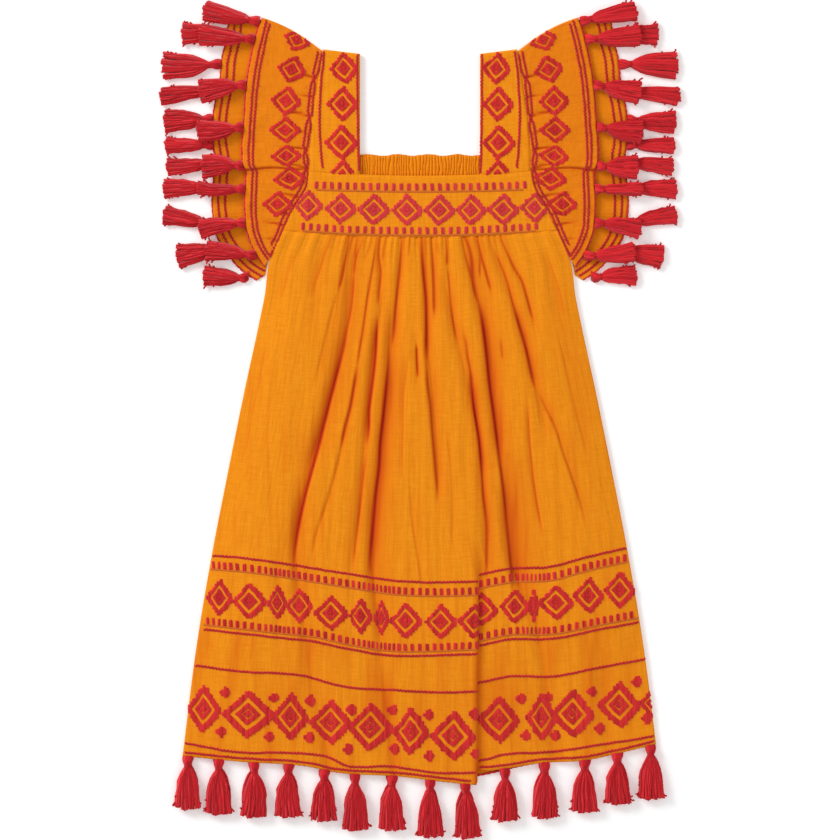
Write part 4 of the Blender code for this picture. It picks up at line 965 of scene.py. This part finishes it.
def tassel(lines, root, outward, tip, tip_width, z, root_z, strands, flat=1.0, locks=4):
    """Draws one tassel from its root on the braid to its tip."""
    chance = lines.chance
    start = Vector(root)
    way = (Vector(tip) - start).normalized()
    step = outward * 4.4 * max(0.0, 1 - way.dot(outward)) ** 0.6
    along = Vector(tip) - step - start
    scale = along.length / TASSEL_LENGTH
    along.normalize()
    lateral = Vector((-along.y, along.x))
    wide = tip_width / FULL_TIP
    bend = chance.uniform(-1.4, 1.4)
    drift = chance.uniform(0, 99)

    def spot(distance, sideways, up):
        moved = start + step * float(ease(0.0, 2.6, distance)) + along * distance * scale
        moved += lateral * (sideways + bend * math.sin(distance / TASSEL_LENGTH * math.pi))
        level = mix(root_z, z, float(ease(0.0, 4.0, distance)))
        return (moved.x, moved.y, max(LEVEL_OF_STRANDS, level + up * flat))

    form = [(d, w * mix(1.0, wide, float(ease(9, 20, d))), h) for d, w, h in BODY]
    reach = form[-1][1]
    for i in range(strands):
        lay = math.sqrt((i + 0.5) / strands)
        turn = i * GOLDEN_ANGLE
        s, h = lay * math.cos(turn), lay * math.sin(turn)
        lock = min(locks - 1, int((s + 1) / 2 * locks))
        centre = (2 * lock + 1) / locks - 1
        longer = (-0.9, 0.7, 0.1, -0.6)[lock] + chance.gauss(0, 0.5)
        row = []
        for distance, half, deep in form:
            parted = float(ease(18, 42, distance))
            sideways = half * mix(s, mix(s, centre, 0.24), parted)
            wave = noise.noise((3.1 * s + drift, distance / 8.0, 1.7 * h + lock))
            sideways += 1.2 * wave * float(ease(9, 20, distance))
            reached = distance if distance < 44 else distance + longer
            row.append(spot(reached, sideways, deep * h + 0.8 * wave * (h > 0)))
        lines.add(row, THICKNESS)
    for i in range(HEAD_STRANDS):
        turn = 2 * math.pi * i / HEAD_STRANDS
        row = []
        for distance, half in HEAD:
            twisted = turn + distance * 0.09
            row.append(spot(distance, half * math.cos(twisted), 0.6 * half * math.sin(twisted)))
        lines.add(row, (0.5, 0.64, 0.7, 0.6, 0.4))
    for wrap in range(WRAPS):
        distance = 7.7 + 0.55 * wrap
        ring = [spot(distance + 0.3 * math.sin(a), 2.15 * math.cos(a), 1.5 * math.sin(a))
                for a in np.linspace(0, 2 * math.pi, 11)]
        lines.add(ring, 0.34, tone=0.25)
    for _ in range(STRAYS if flat == 1.0 else 0):
        side = chance.choice((-1, 1))
        begin, out = chance.uniform(28, 41), chance.uniform(1.2, 3.4)
        half = reach * begin / TASSEL_LENGTH
        row = [spot(begin, side * half * 0.85, 0), spot(begin + 3, side * (half + out * 0.6), 0.4),
               spot(begin + chance.uniform(2, 5), side * (half + out), 0.2)]
        lines.add(row, 0.07, tone=0.0)


# %% Braid along an edge
# The braid lies just outside the edge and below the level of the cloth.
BRAID_OUT, UNDER = 0.4, 1.15
BRAID_LEVEL = 0.9
BRAID_YARN = 0.42


def braid(lines, edge):
    """Two strands twisted round each other along an edge, given as 3-D points."""
    edge = np.array(edge, float)
    marks = np.concatenate(([0.0], np.cumsum(np.linalg.norm(np.diff(edge, axis=0), axis=1))))
    at = np.arange(0.0, marks[-1], 1.1)
    path = np.stack([np.interp(at, marks, edge[:, k]) for k in range(3)], -1)
    along = np.gradient(path[:, :2], axis=0)
    along /= np.linalg.norm(along, axis=1)[:, None]
    across = np.stack((-along[:, 1], along[:, 0]), -1)
    for phase in (0.0, math.pi):
        angle = at / BRAID_YARN / 3.6 + phase
        row = np.array(path)
        row[:, :2] += across * (BRAID_YARN * np.cos(angle))[:, None]
        row[:, 2] += BRAID_YARN * np.sin(angle)
        lines.add([tuple(p) for p in row], BRAID_YARN, tone=lines.chance.random())


def set_out(edge, distance):
    """Moves a line of points sideways, to its right as it runs."""
    edge = np.array(edge, float)
    along = np.gradient(edge[:, :2], axis=0)
    along /= np.linalg.norm(along, axis=1)[:, None]
    moved = np.array(edge)
    moved[:, 0] += along[:, 1] * distance
    moved[:, 1] -= along[:, 0] * distance
    return moved


def hang(lines, trail, root, tip, width, z, strands, sign, **form):
    """Hangs a tassel from the nearest point of a trail."""
    near = int(np.argmin(np.hypot(trail[:, 0] - root[0], trail[:, 1] - root[1])))
    a, b = trail[max(0, near - 1)], trail[min(len(trail) - 1, near + 1)]
    along = Vector((b[0] - a[0], b[1] - a[1])).normalized()
    outward = Vector((along.y, -along.x)) * sign
    start = Vector(trail[near][:2]) + outward * 0.5
    tassel(lines, start, outward, tip, width, z, trail[near][2], strands, **form)


# %% Make the trims
HEM_STRANDS, BACK_HEM_STRANDS = 140, 44
HEM_TASSEL_LEVEL, BACK_HEM_TASSEL_LEVEL, LOWEST_FRONT_TASSEL_LEVEL = 5.2, 1.2, 4.6
trims = {}
hem_points, _, _ = front_skirt(skirt_columns, [1.0])
hem_edge = hem_points[0]
first_turned = next(i for i, c in enumerate(skirt_columns) if c[1])
stretches = {
    "trim_hem_front_right": hem_edge[:first_turned + 1],
    "trim_hem_front_left": hem_edge[first_turned + len(PLEAT_FORM) - 1:],
}
for node, edge in stretches.items():
    lines = Lines(node)
    trail = set_out(edge, BRAID_OUT)
    trail[:, 2] -= UNDER
    braid(lines, trail)
    for x, tip_x, tip_y in HEM_TASSELS:
        if trail[0][0] - 1.6 < x < trail[-1][0] + 1.6:
            root = (x, float(through(FRONT_HEM, x)))
            hang(lines, trail, root, (tip_x, tip_y), FULL_TIP, HEM_TASSEL_LEVEL, HEM_STRANDS, 1)
    trims[node] = lines.spin(node + "_yarn", yarn_tree, tassel_yarn, 3)

lines = Lines("trim_hem_back")
u = np.linspace(-1, 1, 160)
hem_height = through(FRONT_HEM, u * HEM_HALF) + 1.0
edge = np.stack((u * through(SKIRT_SIDE, hem_height), hem_height, 0 * u + BRAID_LEVEL), -1)
trail = set_out(edge, BRAID_OUT)
braid(lines, trail)
for x, tip_x, tip_y in HEM_TASSELS:
    root = (x, float(through(FRONT_HEM, x)))
    hang(lines, trail, root, (tip_x, tip_y + 2.5), FULL_TIP - 2, BACK_HEM_TASSEL_LEVEL,
         BACK_HEM_STRANDS, 1, flat=0.42, locks=3)
trims["trim_hem_back"] = lines.spin("trim_hem_back_yarn", yarn_tree, tassel_yarn, 3)

for side, word in ((-1, "right"), (1, "left")):
    for layer, table, z, strands in (("front", RUFFLE_TASSELS_FRONT, 6.9, 110),
                                     ("back", RUFFLE_TASSELS_BACK, 2.5, 104)):
        lines = Lines(layer + word)
        # The back edge's first 15 rows lie at the shoulder fold and carry no trim.
        rows = RUFFLE_ROWS[:RUFFLE_STEPS] if layer == "front" else RUFFLE_ROWS[15 - RUFFLE_STEPS:]
        level = rows[:, 3] + rows[:, 4] - UNDER
        edge = np.stack((side * rows[:, 1], rows[:, 2], np.maximum(level, BRAID_LEVEL)), -1)
        outside = 1 if (side > 0) == (layer == "front") else -1
        trail = set_out(edge, BRAID_OUT * outside)
        braid(lines, trail)
        for k, (out, root_y, tip_out, tip_y, width) in enumerate(table):
            last = layer == "front" and k == len(table) - 1
            hang(lines, trail, (side * out, root_y), (side * tip_out, tip_y), width,
                 LOWEST_FRONT_TASSEL_LEVEL if last else z, strands, outside)
        node = f"trim_ruffle_{layer}_{word}"
        trims[node] = lines.spin(node + "_yarn", yarn_tree, tassel_yarn, 3)

# %% [markdown]
# ## Embroidery
#
# The motifs are the diamonds and dashes of folk embroidery. Each diamond is
# filled with satin stitch: threads laid side by side from its edge towards its
# middle, in rings with bare cloth between them. Its outer edge is ragged because
# every other pair of stitches is longer. Where the skirt folds, the motifs are
# squeezed, so their places and widths come from the tables.

# %% Stitches for a diamond, a dash and a line
STITCH = 0.62
# Rings of a diamond, outside to inside, as shares of its size.
SMALL_RINGS = ((1.0, 0.75), (0.46, 0.24), (0.15, 0.0))
LARGE_RINGS = ((1.0, 0.71), (0.46, 0.26), (0.16, 0.0))
OPEN_RINGS = ((1.0, 0.76), (0.46, 0.25), (0.15, 0.0))


def diamond(lines, px, py, half_px, high_px, rings, lean=0.0):
    """Upright satin stitches of one diamond, centred on a pixel, with its sizes in pixels."""
    x, y = place(px, py)
    wide, high = half_px * PIXEL, high_px * PIXEL
    chance = lines.chance
    turn = math.radians(lean)
    peak, foot = chance.uniform(-0.06, 0.14), chance.uniform(-0.14, 0.1)
    upper = ((-1.0, -0.5, peak, 0.5, 1.0), (0.02, 0.44 + 0.4 * peak, 1.0, 0.5 - 0.4 * peak, -0.06))
    lower = ((-1.0, -0.5, foot, 0.5, 1.0), (-0.02, -0.56, -1.0, -0.6, -0.1))

    def edge(side, across, reach):
        return reach * float(np.interp(across / reach, *side))

    def sew(across, low, top, tone):
        ends = []
        for level in (low, top):
            ex, ey = across * wide, level * high
            ends.append((x + ex * math.cos(turn) - ey * math.sin(turn),
                         y + ex * math.sin(turn) + ey * math.cos(turn)))
        lines.stitch(*ends, tone=tone)

    count = max(5, round(2 * wide / STITCH))
    held = 0
    for i in range(count):
        across = (2 * i + 1) / count - 1
        if held == 0:
            held = chance.choice((2, 3, 3, 4))
            step = across * (1 - 0.6 / half_px) + chance.uniform(-0.5, 0.5) / half_px
            raised, dropped = (chance.uniform(-0.4, 0.9) / high_px for _ in range(2))
            tone = chance.uniform(0.25, 0.9)
        held -= 1
        for outer, inner in rings:
            if abs(across) >= outer:
                continue
            at = step if outer == 1.0 else across
            rough = chance.uniform(-0.25, 0.25) / high_px
            top, low = edge(upper, at, outer) + rough, edge(lower, at, outer) + rough
            if outer == 1.0:
                top, low = top + raised, low - dropped
            shade = tone + chance.uniform(-0.25, 0.25)
            if abs(across) >= inner:
                sew(across, low, top, shade)
            else:
                rough = chance.uniform(-0.3, 0.3) / high_px
                sew(across, edge(upper, across, inner) + rough, top, shade)
                sew(across, low, edge(lower, across, inner) + rough, shade)


def dash(lines, px, py, high_px, wide_px=3.0):
    """One upright bar of a few stitches."""
    x, y = place(px, py)
    half = high_px * PIXEL / 2
    count = max(1, round(wide_px))
    tilt = lines.chance.uniform(-0.25, 0.25)
    for i in range(count):
        at = x + (i - (count - 1) / 2) * 0.72
        low, top = (lines.chance.uniform(-0.3, 0.3) for _ in range(2))
        lines.stitch((at - tilt, y - half + low), (at + tilt, y + half + top))


def run_line(points, step):
    """Places and headings every step along a line of points in millimetres."""
    points = np.array(points, float)
    marks = np.concatenate(([0.0], np.cumsum(np.linalg.norm(np.diff(points, axis=0), axis=1))))
    at = np.arange(step / 2, marks[-1], step)
    x, y = (np.interp(at, marks, points[:, k]) for k in range(2))
    heading = np.arctan2(np.gradient(y), np.gradient(x))
    return zip(x, y, heading)


def stitch_line(lines, points, step=3.0, thick=0.25, slant=0.3):
    """A line of short slanting stitches, each a little over the last."""
    drift = lines.chance.uniform(0, 50)
    for x, y, heading in run_line(points, step):
        angle = heading + slant + lines.chance.uniform(-0.15, 0.15)
        off = 0.45 * noise.noise((x / 9, y / 9, drift))
        x, y = x - off * math.sin(heading), y + off * math.cos(heading)
        dx, dy = math.cos(angle) * step * 0.56, math.sin(angle) * step * 0.56
        lines.stitch((x - dx, y - dy), (x + dx, y + dy), thick, 0.18, lines.chance.uniform(0.0, 0.35))


def smooth_line(table, first=None, last=None, step=2.0):
    """A smooth line in millimetres through a table of pixels."""
    first = table[0][0] if first is None else first
    last = table[-1][0] if last is None else last
    px = np.arange(first, last + step, step)
    py = through(table, px)
    return [place(a, b) for a, b in zip(px, py)]


def thread_line(lines, path):
    """One long fine sewing thread that lies on the cloth."""
    lines.add(path, 0.12, [0.0] * len(path), tone=0.5)


def sew_on(lines, name, floss, cloth, lowest=0.0, highest=30.0):
    """Drops the stitches on a cloth where it lies between two heights in millimetres."""
    return lines.spin(name, stitch_tree, floss, 4, Cloth=cloth, Lowest=lowest * MM,
                      Highest=highest * MM)


# %% Embroider the skirt
# Left and right of the pleat, in pixels of the photograph.
BAND_LINES = {
    "top": (((206, 555), (250, 558.5), (295, 565), (345, 573), (396, 580.5), (440, 582), (478, 581)),
            ((479, 574.5), (510, 568.5), (550, 566.5), (590, 556), (634, 546.5))),
    "below_dashes": (((204, 629), (250, 634), (285, 638), (314, 641), (350, 649), (390, 655),
                      (477, 653.5)),
                     ((478, 645.5), (510, 639), (550, 638.5), (600, 629), (642, 621.5))),
    "lower": (((192, 665), (240, 671), (302, 675), (343, 686), (400, 690), (440, 692), (477, 691)),
              ((478, 682.5), (510, 676), (552, 676), (600, 667), (650, 658))),
    "hem_stitch": (((180, 742), (241, 752), (290, 752.5), (329, 757), (346, 765), (390, 766),
                    (440, 772.5), (477, 772)),
                   ((479, 760.5), (510, 753.5), (546, 752), (600, 744.5), (660, 735))),
}
# Small diamonds: across, down, half width, half height, all in pixels.
SMALL_DIAMONDS = (
    (219.4, 597, 12.6, 18.5), (249.3, 600.5, 16.7, 18.4), (277.2, 602, 9.3, 17),
    (299, 605, 13.3, 17.2),
    (330.6, 612.5, 16.4, 17.4), (360, 615.3, 11.3, 17.4), (381, 617.2, 7.2, 17.2),
    (405.3, 620, 15.9, 17.7), (440.3, 621, 15.5, 17.3), (474, 620.5, 16, 17.4),
)
SMALL_DIAMONDS_RIGHT = (
    (481.5, 609, 15.7, 16.6), (514.3, 605.8, 14.3, 17.2), (533.3, 604.8, 4.6, 18),
    (555.2, 601.8, 17.4, 17.5),
    (587.8, 595, 15, 17.9), (619, 589.5, 15.2, 18.2),
)
LARGE_DIAMONDS = (
    (203.5, 708.4, 17, 24), (248, 713.4, 25.8, 24.2), (290, 716, 18, 23.4),
                    (330, 721.5, 20.8, 22.4),
    (369.8, 726.5, 22.5, 24.6), (410.3, 730.5, 17.6, 23.9), (452.6, 735, 22.5, 25.2),
)
LARGE_DIAMONDS_RIGHT = (
    (498.2, 718.9, 20.8, 23.9), (541, 716.6, 15.4, 24), (571.8, 713, 21.5, 24.4),
    (618.4, 704.5, 21, 23.4),
    (652.5, 702.6, 13.4, 15),
)
DOTS = (
    (225, 692), (274, 697), (310, 700), (351, 709), (392, 709), (428, 714), (474, 713),
    (221, 731), (269, 736), (309, 737), (348, 748.5), (394, 748.5), (429, 755), (475.5, 753),
)
DOTS_RIGHT = (
    (520.6, 698), (547, 697), (591, 691), (636, 681), (525, 735), (555, 735), (599, 728),
                    (646, 718),
)
DOT_SIZE, DOT_RINGS = (4.8, 5.8), ((1.0, 0.0),)
PLEAT_PIXEL = 478.0
# Half width of a small diamond on flat cloth: narrower ones tell how the cloth is squeezed.
UNSQUEEZED = 16.5
# Dashes lie under the top line and above the lower one, at this spacing where flat.
DASHES_FROM_TOP, DASHES_FROM_LOWER = -9.4, 8.6
DASH_HIGH, DASH_WIDE, DASH_SPACING = 6.8, 3.2, 7.4


def crowding(px):
    """How much the folds squeeze the cloth at a place, from 0 to 1."""
    known = [(row[0], row[2] / UNSQUEEZED) for row in SMALL_DIAMONDS + SMALL_DIAMONDS_RIGHT[1:]]
    return float(np.clip(through(known, px), 0.42, 1.0))


def skirt_side(side):
    """Stitches on one side of the pleat: 0 is left of it and 1 is right."""
    lines = Lines(40 + side)
    for pair in BAND_LINES.values():
        stitch_line(lines, smooth_line(pair[side]))
    upper, lower = BAND_LINES["top"][side], BAND_LINES["below_dashes"][side]
    px = upper[0][0] + 2.0
    while px < upper[-1][0]:
        squeeze = crowding(px)
        for table, above in ((upper, DASHES_FROM_TOP), (lower, DASHES_FROM_LOWER)):
            dash(lines, px, float(through(table, px)) - above, DASH_HIGH, DASH_WIDE * squeeze)
        px += DASH_SPACING * max(0.56, squeeze)
    small = SMALL_DIAMONDS_RIGHT if side else SMALL_DIAMONDS
    large = LARGE_DIAMONDS_RIGHT if side else LARGE_DIAMONDS
    for row in small:
        diamond(lines, *row, SMALL_RINGS)
    for row in large:
        diamond(lines, *row, LARGE_RINGS)
    for px, py in (DOTS_RIGHT if side else DOTS):
        diamond(lines, px, py, *DOT_SIZE, DOT_RINGS)
    limit = place(PLEAT_PIXEL, 0)[0]
    keep = [(p[0] > limit) == bool(side) for p in lines.points]
    lines.edges = [e for e in lines.edges if keep[e[0]] and keep[e[1]]]
    return lines


embroidery = {}
for side, word in enumerate(("right", "left")):
    lines = skirt_side(side)
    embroidery[word] = sew_on(lines, f"skirt_{word}_embroidery", skirt_floss, skirt)
# Hem stitch just inside the edge of the cloth.
lines = Lines(44)
for node, edge in stretches.items():
    stitch_line(lines, [(p[0], p[1] + 1.7) for p in edge[::3]])
hem_stitches = sew_on(lines, "skirt_hem_stitches", skirt_floss, skirt)

# %% Lay a fine thread under each row of dashes
threads = {}
for side, word in enumerate(("right", "left")):
    lines = Lines(46 + side)
    for label, above in (("top", -13.6), ("below_dashes", 4.6)):
        table = BAND_LINES[label][side]
        thread_line(lines, [place(a, float(through(table, a)) - above)
                            for a in np.arange(table[0][0], table[-1][0], 1.6)])
    threads[word] = sew_on(lines, f"skirt_{word}_threads", sewing_thread, skirt)

# %% Embroider the yoke
YOKE_DIAMONDS = (
    (308, 205.5, 14, 15), (340.5, 208.5, 15, 15), (373.5, 209.5, 15.5, 15.5),
                    (406.5, 210, 15, 15.5),
    (439, 210, 15, 15.5), (470.5, 210, 14.5, 15.5), (502.5, 209.5, 15.5, 15.5),
                    (534, 207.5, 14, 15.5),
)
# Rows of dashes: first, last, how many, height of the dashes, height of the thread, bend.
YOKE_DASHES = ((316.5, 524.5, 28, 187.2, 191.9, 2.4), (303, 536, 31, 230.9, 235.4, 4.2))
YOKE_HALF = 114


def bent(px, level, bend):
    """Height in pixels on a line that rises towards both ends of the yoke."""
    return level - bend * ((px - ORIGIN_PIXEL[0]) / YOKE_HALF) ** 2


lines, fine = Lines(50), Lines(52)
for row in YOKE_DIAMONDS:
    diamond(lines, *row, SMALL_RINGS)
for first, last, count, dash_level, thread_level, bend in YOKE_DASHES:
    for px in np.linspace(first, last, count):
        dash(lines, px, bent(px, dash_level, bend), 6.4)
    thread_line(fine, [place(px, bent(px, thread_level, bend))
                       for px in np.arange(first, last, 2.0)])
yoke_embroidery = sew_on(lines, "yoke_embroidery", yoke_floss, yoke)
threads["yoke"] = sew_on(fine, "yoke_threads", sewing_thread, yoke)

# %% Embroider the straps
# Places are for the wearer's right side, and the other side mirrors them.
STRAP_DIAMONDS = ((343.5, 68.5, 13.5, 16, 4), (342, 104, 15, 17, 0), (341, 142.5, 16, 17.5, 0),
                  (342, 177, 15, 17, 0))
STRAP_LINES = (
    ((357.4, 53), (357.6, 100), (358.2, 140), (359.2, 175)),
    ((324.5, 52), (321.5, 80), (319.8, 110), (320, 130), (321, 150), (323.2, 171)),
)


MIDDLE_PIXEL = 419.7


def mirrored(px, side):
    return px if side < 0 else 2 * MIDDLE_PIXEL - px


strap_embroidery = []
for side, cloth in zip((-1, 1), straps):
    lines = Lines(60 + side)
    for px, py, wide, high, lean in STRAP_DIAMONDS:
        diamond(lines, mirrored(px, side), py, wide, high, OPEN_RINGS, -side * lean)
    for table in STRAP_LINES:
        rows = np.array(table)
        py = np.arange(rows[0, 1], rows[-1, 1], 3.0)
        px = through([(b, a) for a, b in table], py)
        stitch_line(lines, [place(mirrored(a, side), b) for a, b in zip(px, py)])
    name = cloth.name.replace("voile", "embroidery")
    strap_embroidery.append(sew_on(lines, name, skirt_floss, cloth, lowest=2.5))

# %% Embroider the ruffles
RUFFLE_DIAMONDS = ((297, 40, 13, 11.5, -20), (291.6, 69.5, 14, 13.5, -12), (286, 101, 14.5, 15, -6),
                   (285, 130, 15, 13, 0), (286, 156, 14.5, 11, 4), (289.5, 178.5, 16, 12, 6),
                   (277.5, 204, 14.5, 12.5, 0))
# Heights where tucks pinch the two lines along the armhole together.
PINCHES = (287.0, 253.7, 225.7, 211.0)
# Height that parts a ruffle's back layer from its front one.
BETWEEN_LAYERS = 2.6


def inside_edge(rows, side, share_from_edge, first, last):
    """A line that runs a set distance inside a ruffle's outer edge, in millimetres."""
    rows = rows[first:last]
    inner_x = armhole(rows[:, 0])
    reach = np.hypot(rows[:, 1] - inner_x, rows[:, 2] - rows[:, 0])
    share = 1 - share_from_edge / reach
    x = mix(inner_x, rows[:, 1], share)
    y = mix(rows[:, 0], rows[:, 2], share) + rows[:, 6] * np.sin(np.pi * share)
    return [(side * a, b) for a, b in zip(x, y)]


ruffle_embroidery = []
for side, cloth in zip((-1, 1), ruffles):
    front, back = Lines(70 + side), Lines(75 + side)
    for px, py, wide, high, lean in RUFFLE_DIAMONDS:
        diamond(front, mirrored(px, side), py, wide, high, OPEN_RINGS, -side * lean)
    for inside in (5.0, 8.6):
        stitch_line(front, inside_edge(RUFFLE_ROWS, side, inside, 0, RUFFLE_STEPS))
    for inside in (4.6, 10.4):
        stitch_line(back, inside_edge(RUFFLE_ROWS, side, inside, 10 - RUFFLE_STEPS, -1))
    for off, way in ((0.9, 1.0), (4.4, -1.0)):
        y = np.arange(134 + off * 2.6, 309, 1.5)
        pinch = sum(np.exp(-(((y - at) / 2.6) ** 2)) for at in PINCHES)
        bow = 0.7 * np.sin(y / 8.5)
        out = armhole(y) + off + 1.5 * way * pinch + bow
        stitch_line(front, np.stack((side * out, y + 0.25 * off), -1))
    name = cloth.name.replace("voile", "")
    ruffle_embroidery.append((
        sew_on(front, name + "front_embroidery", skirt_floss, cloth, lowest=BETWEEN_LAYERS),
        sew_on(back, name + "back_embroidery", skirt_floss, cloth, highest=BETWEEN_LAYERS)))

# %% [markdown]
# ## Attach the pieces
#
# Each piece rides on the dress's one body, and the solids that it stands for are hidden.

# %% Attach each piece and hide the solids it stands for
def hand_over(piece, slot, *nodes):
    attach(piece, "root")
    if nodes:
        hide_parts(*nodes)


hand_over(skirt, "cloth", "skirt_front")
hand_over(back_skirt, "cloth", "skirt_back")
hand_over(yoke, "cloth", "yoke_front")
hand_over(back_yoke, "shirred_cloth", "yoke_back")
for word, band, frill, stitches, (front, back) in zip(
        ("right", "left"), straps, ruffles, strap_embroidery, ruffle_embroidery):
    hand_over(band, "cloth", "strap_" + word)
    hand_over(frill, "cloth", "ruffle_" + word)
    for piece in (stitches, front, back):
        hand_over(piece, "tassel_yarn")
for node, piece in trims.items():
    hand_over(piece, "tassel_yarn", node)
for piece in (*embroidery.values(), *threads.values(), hem_stitches, yoke_embroidery):
    hand_over(piece, "tassel_yarn")

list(embroidery.values())
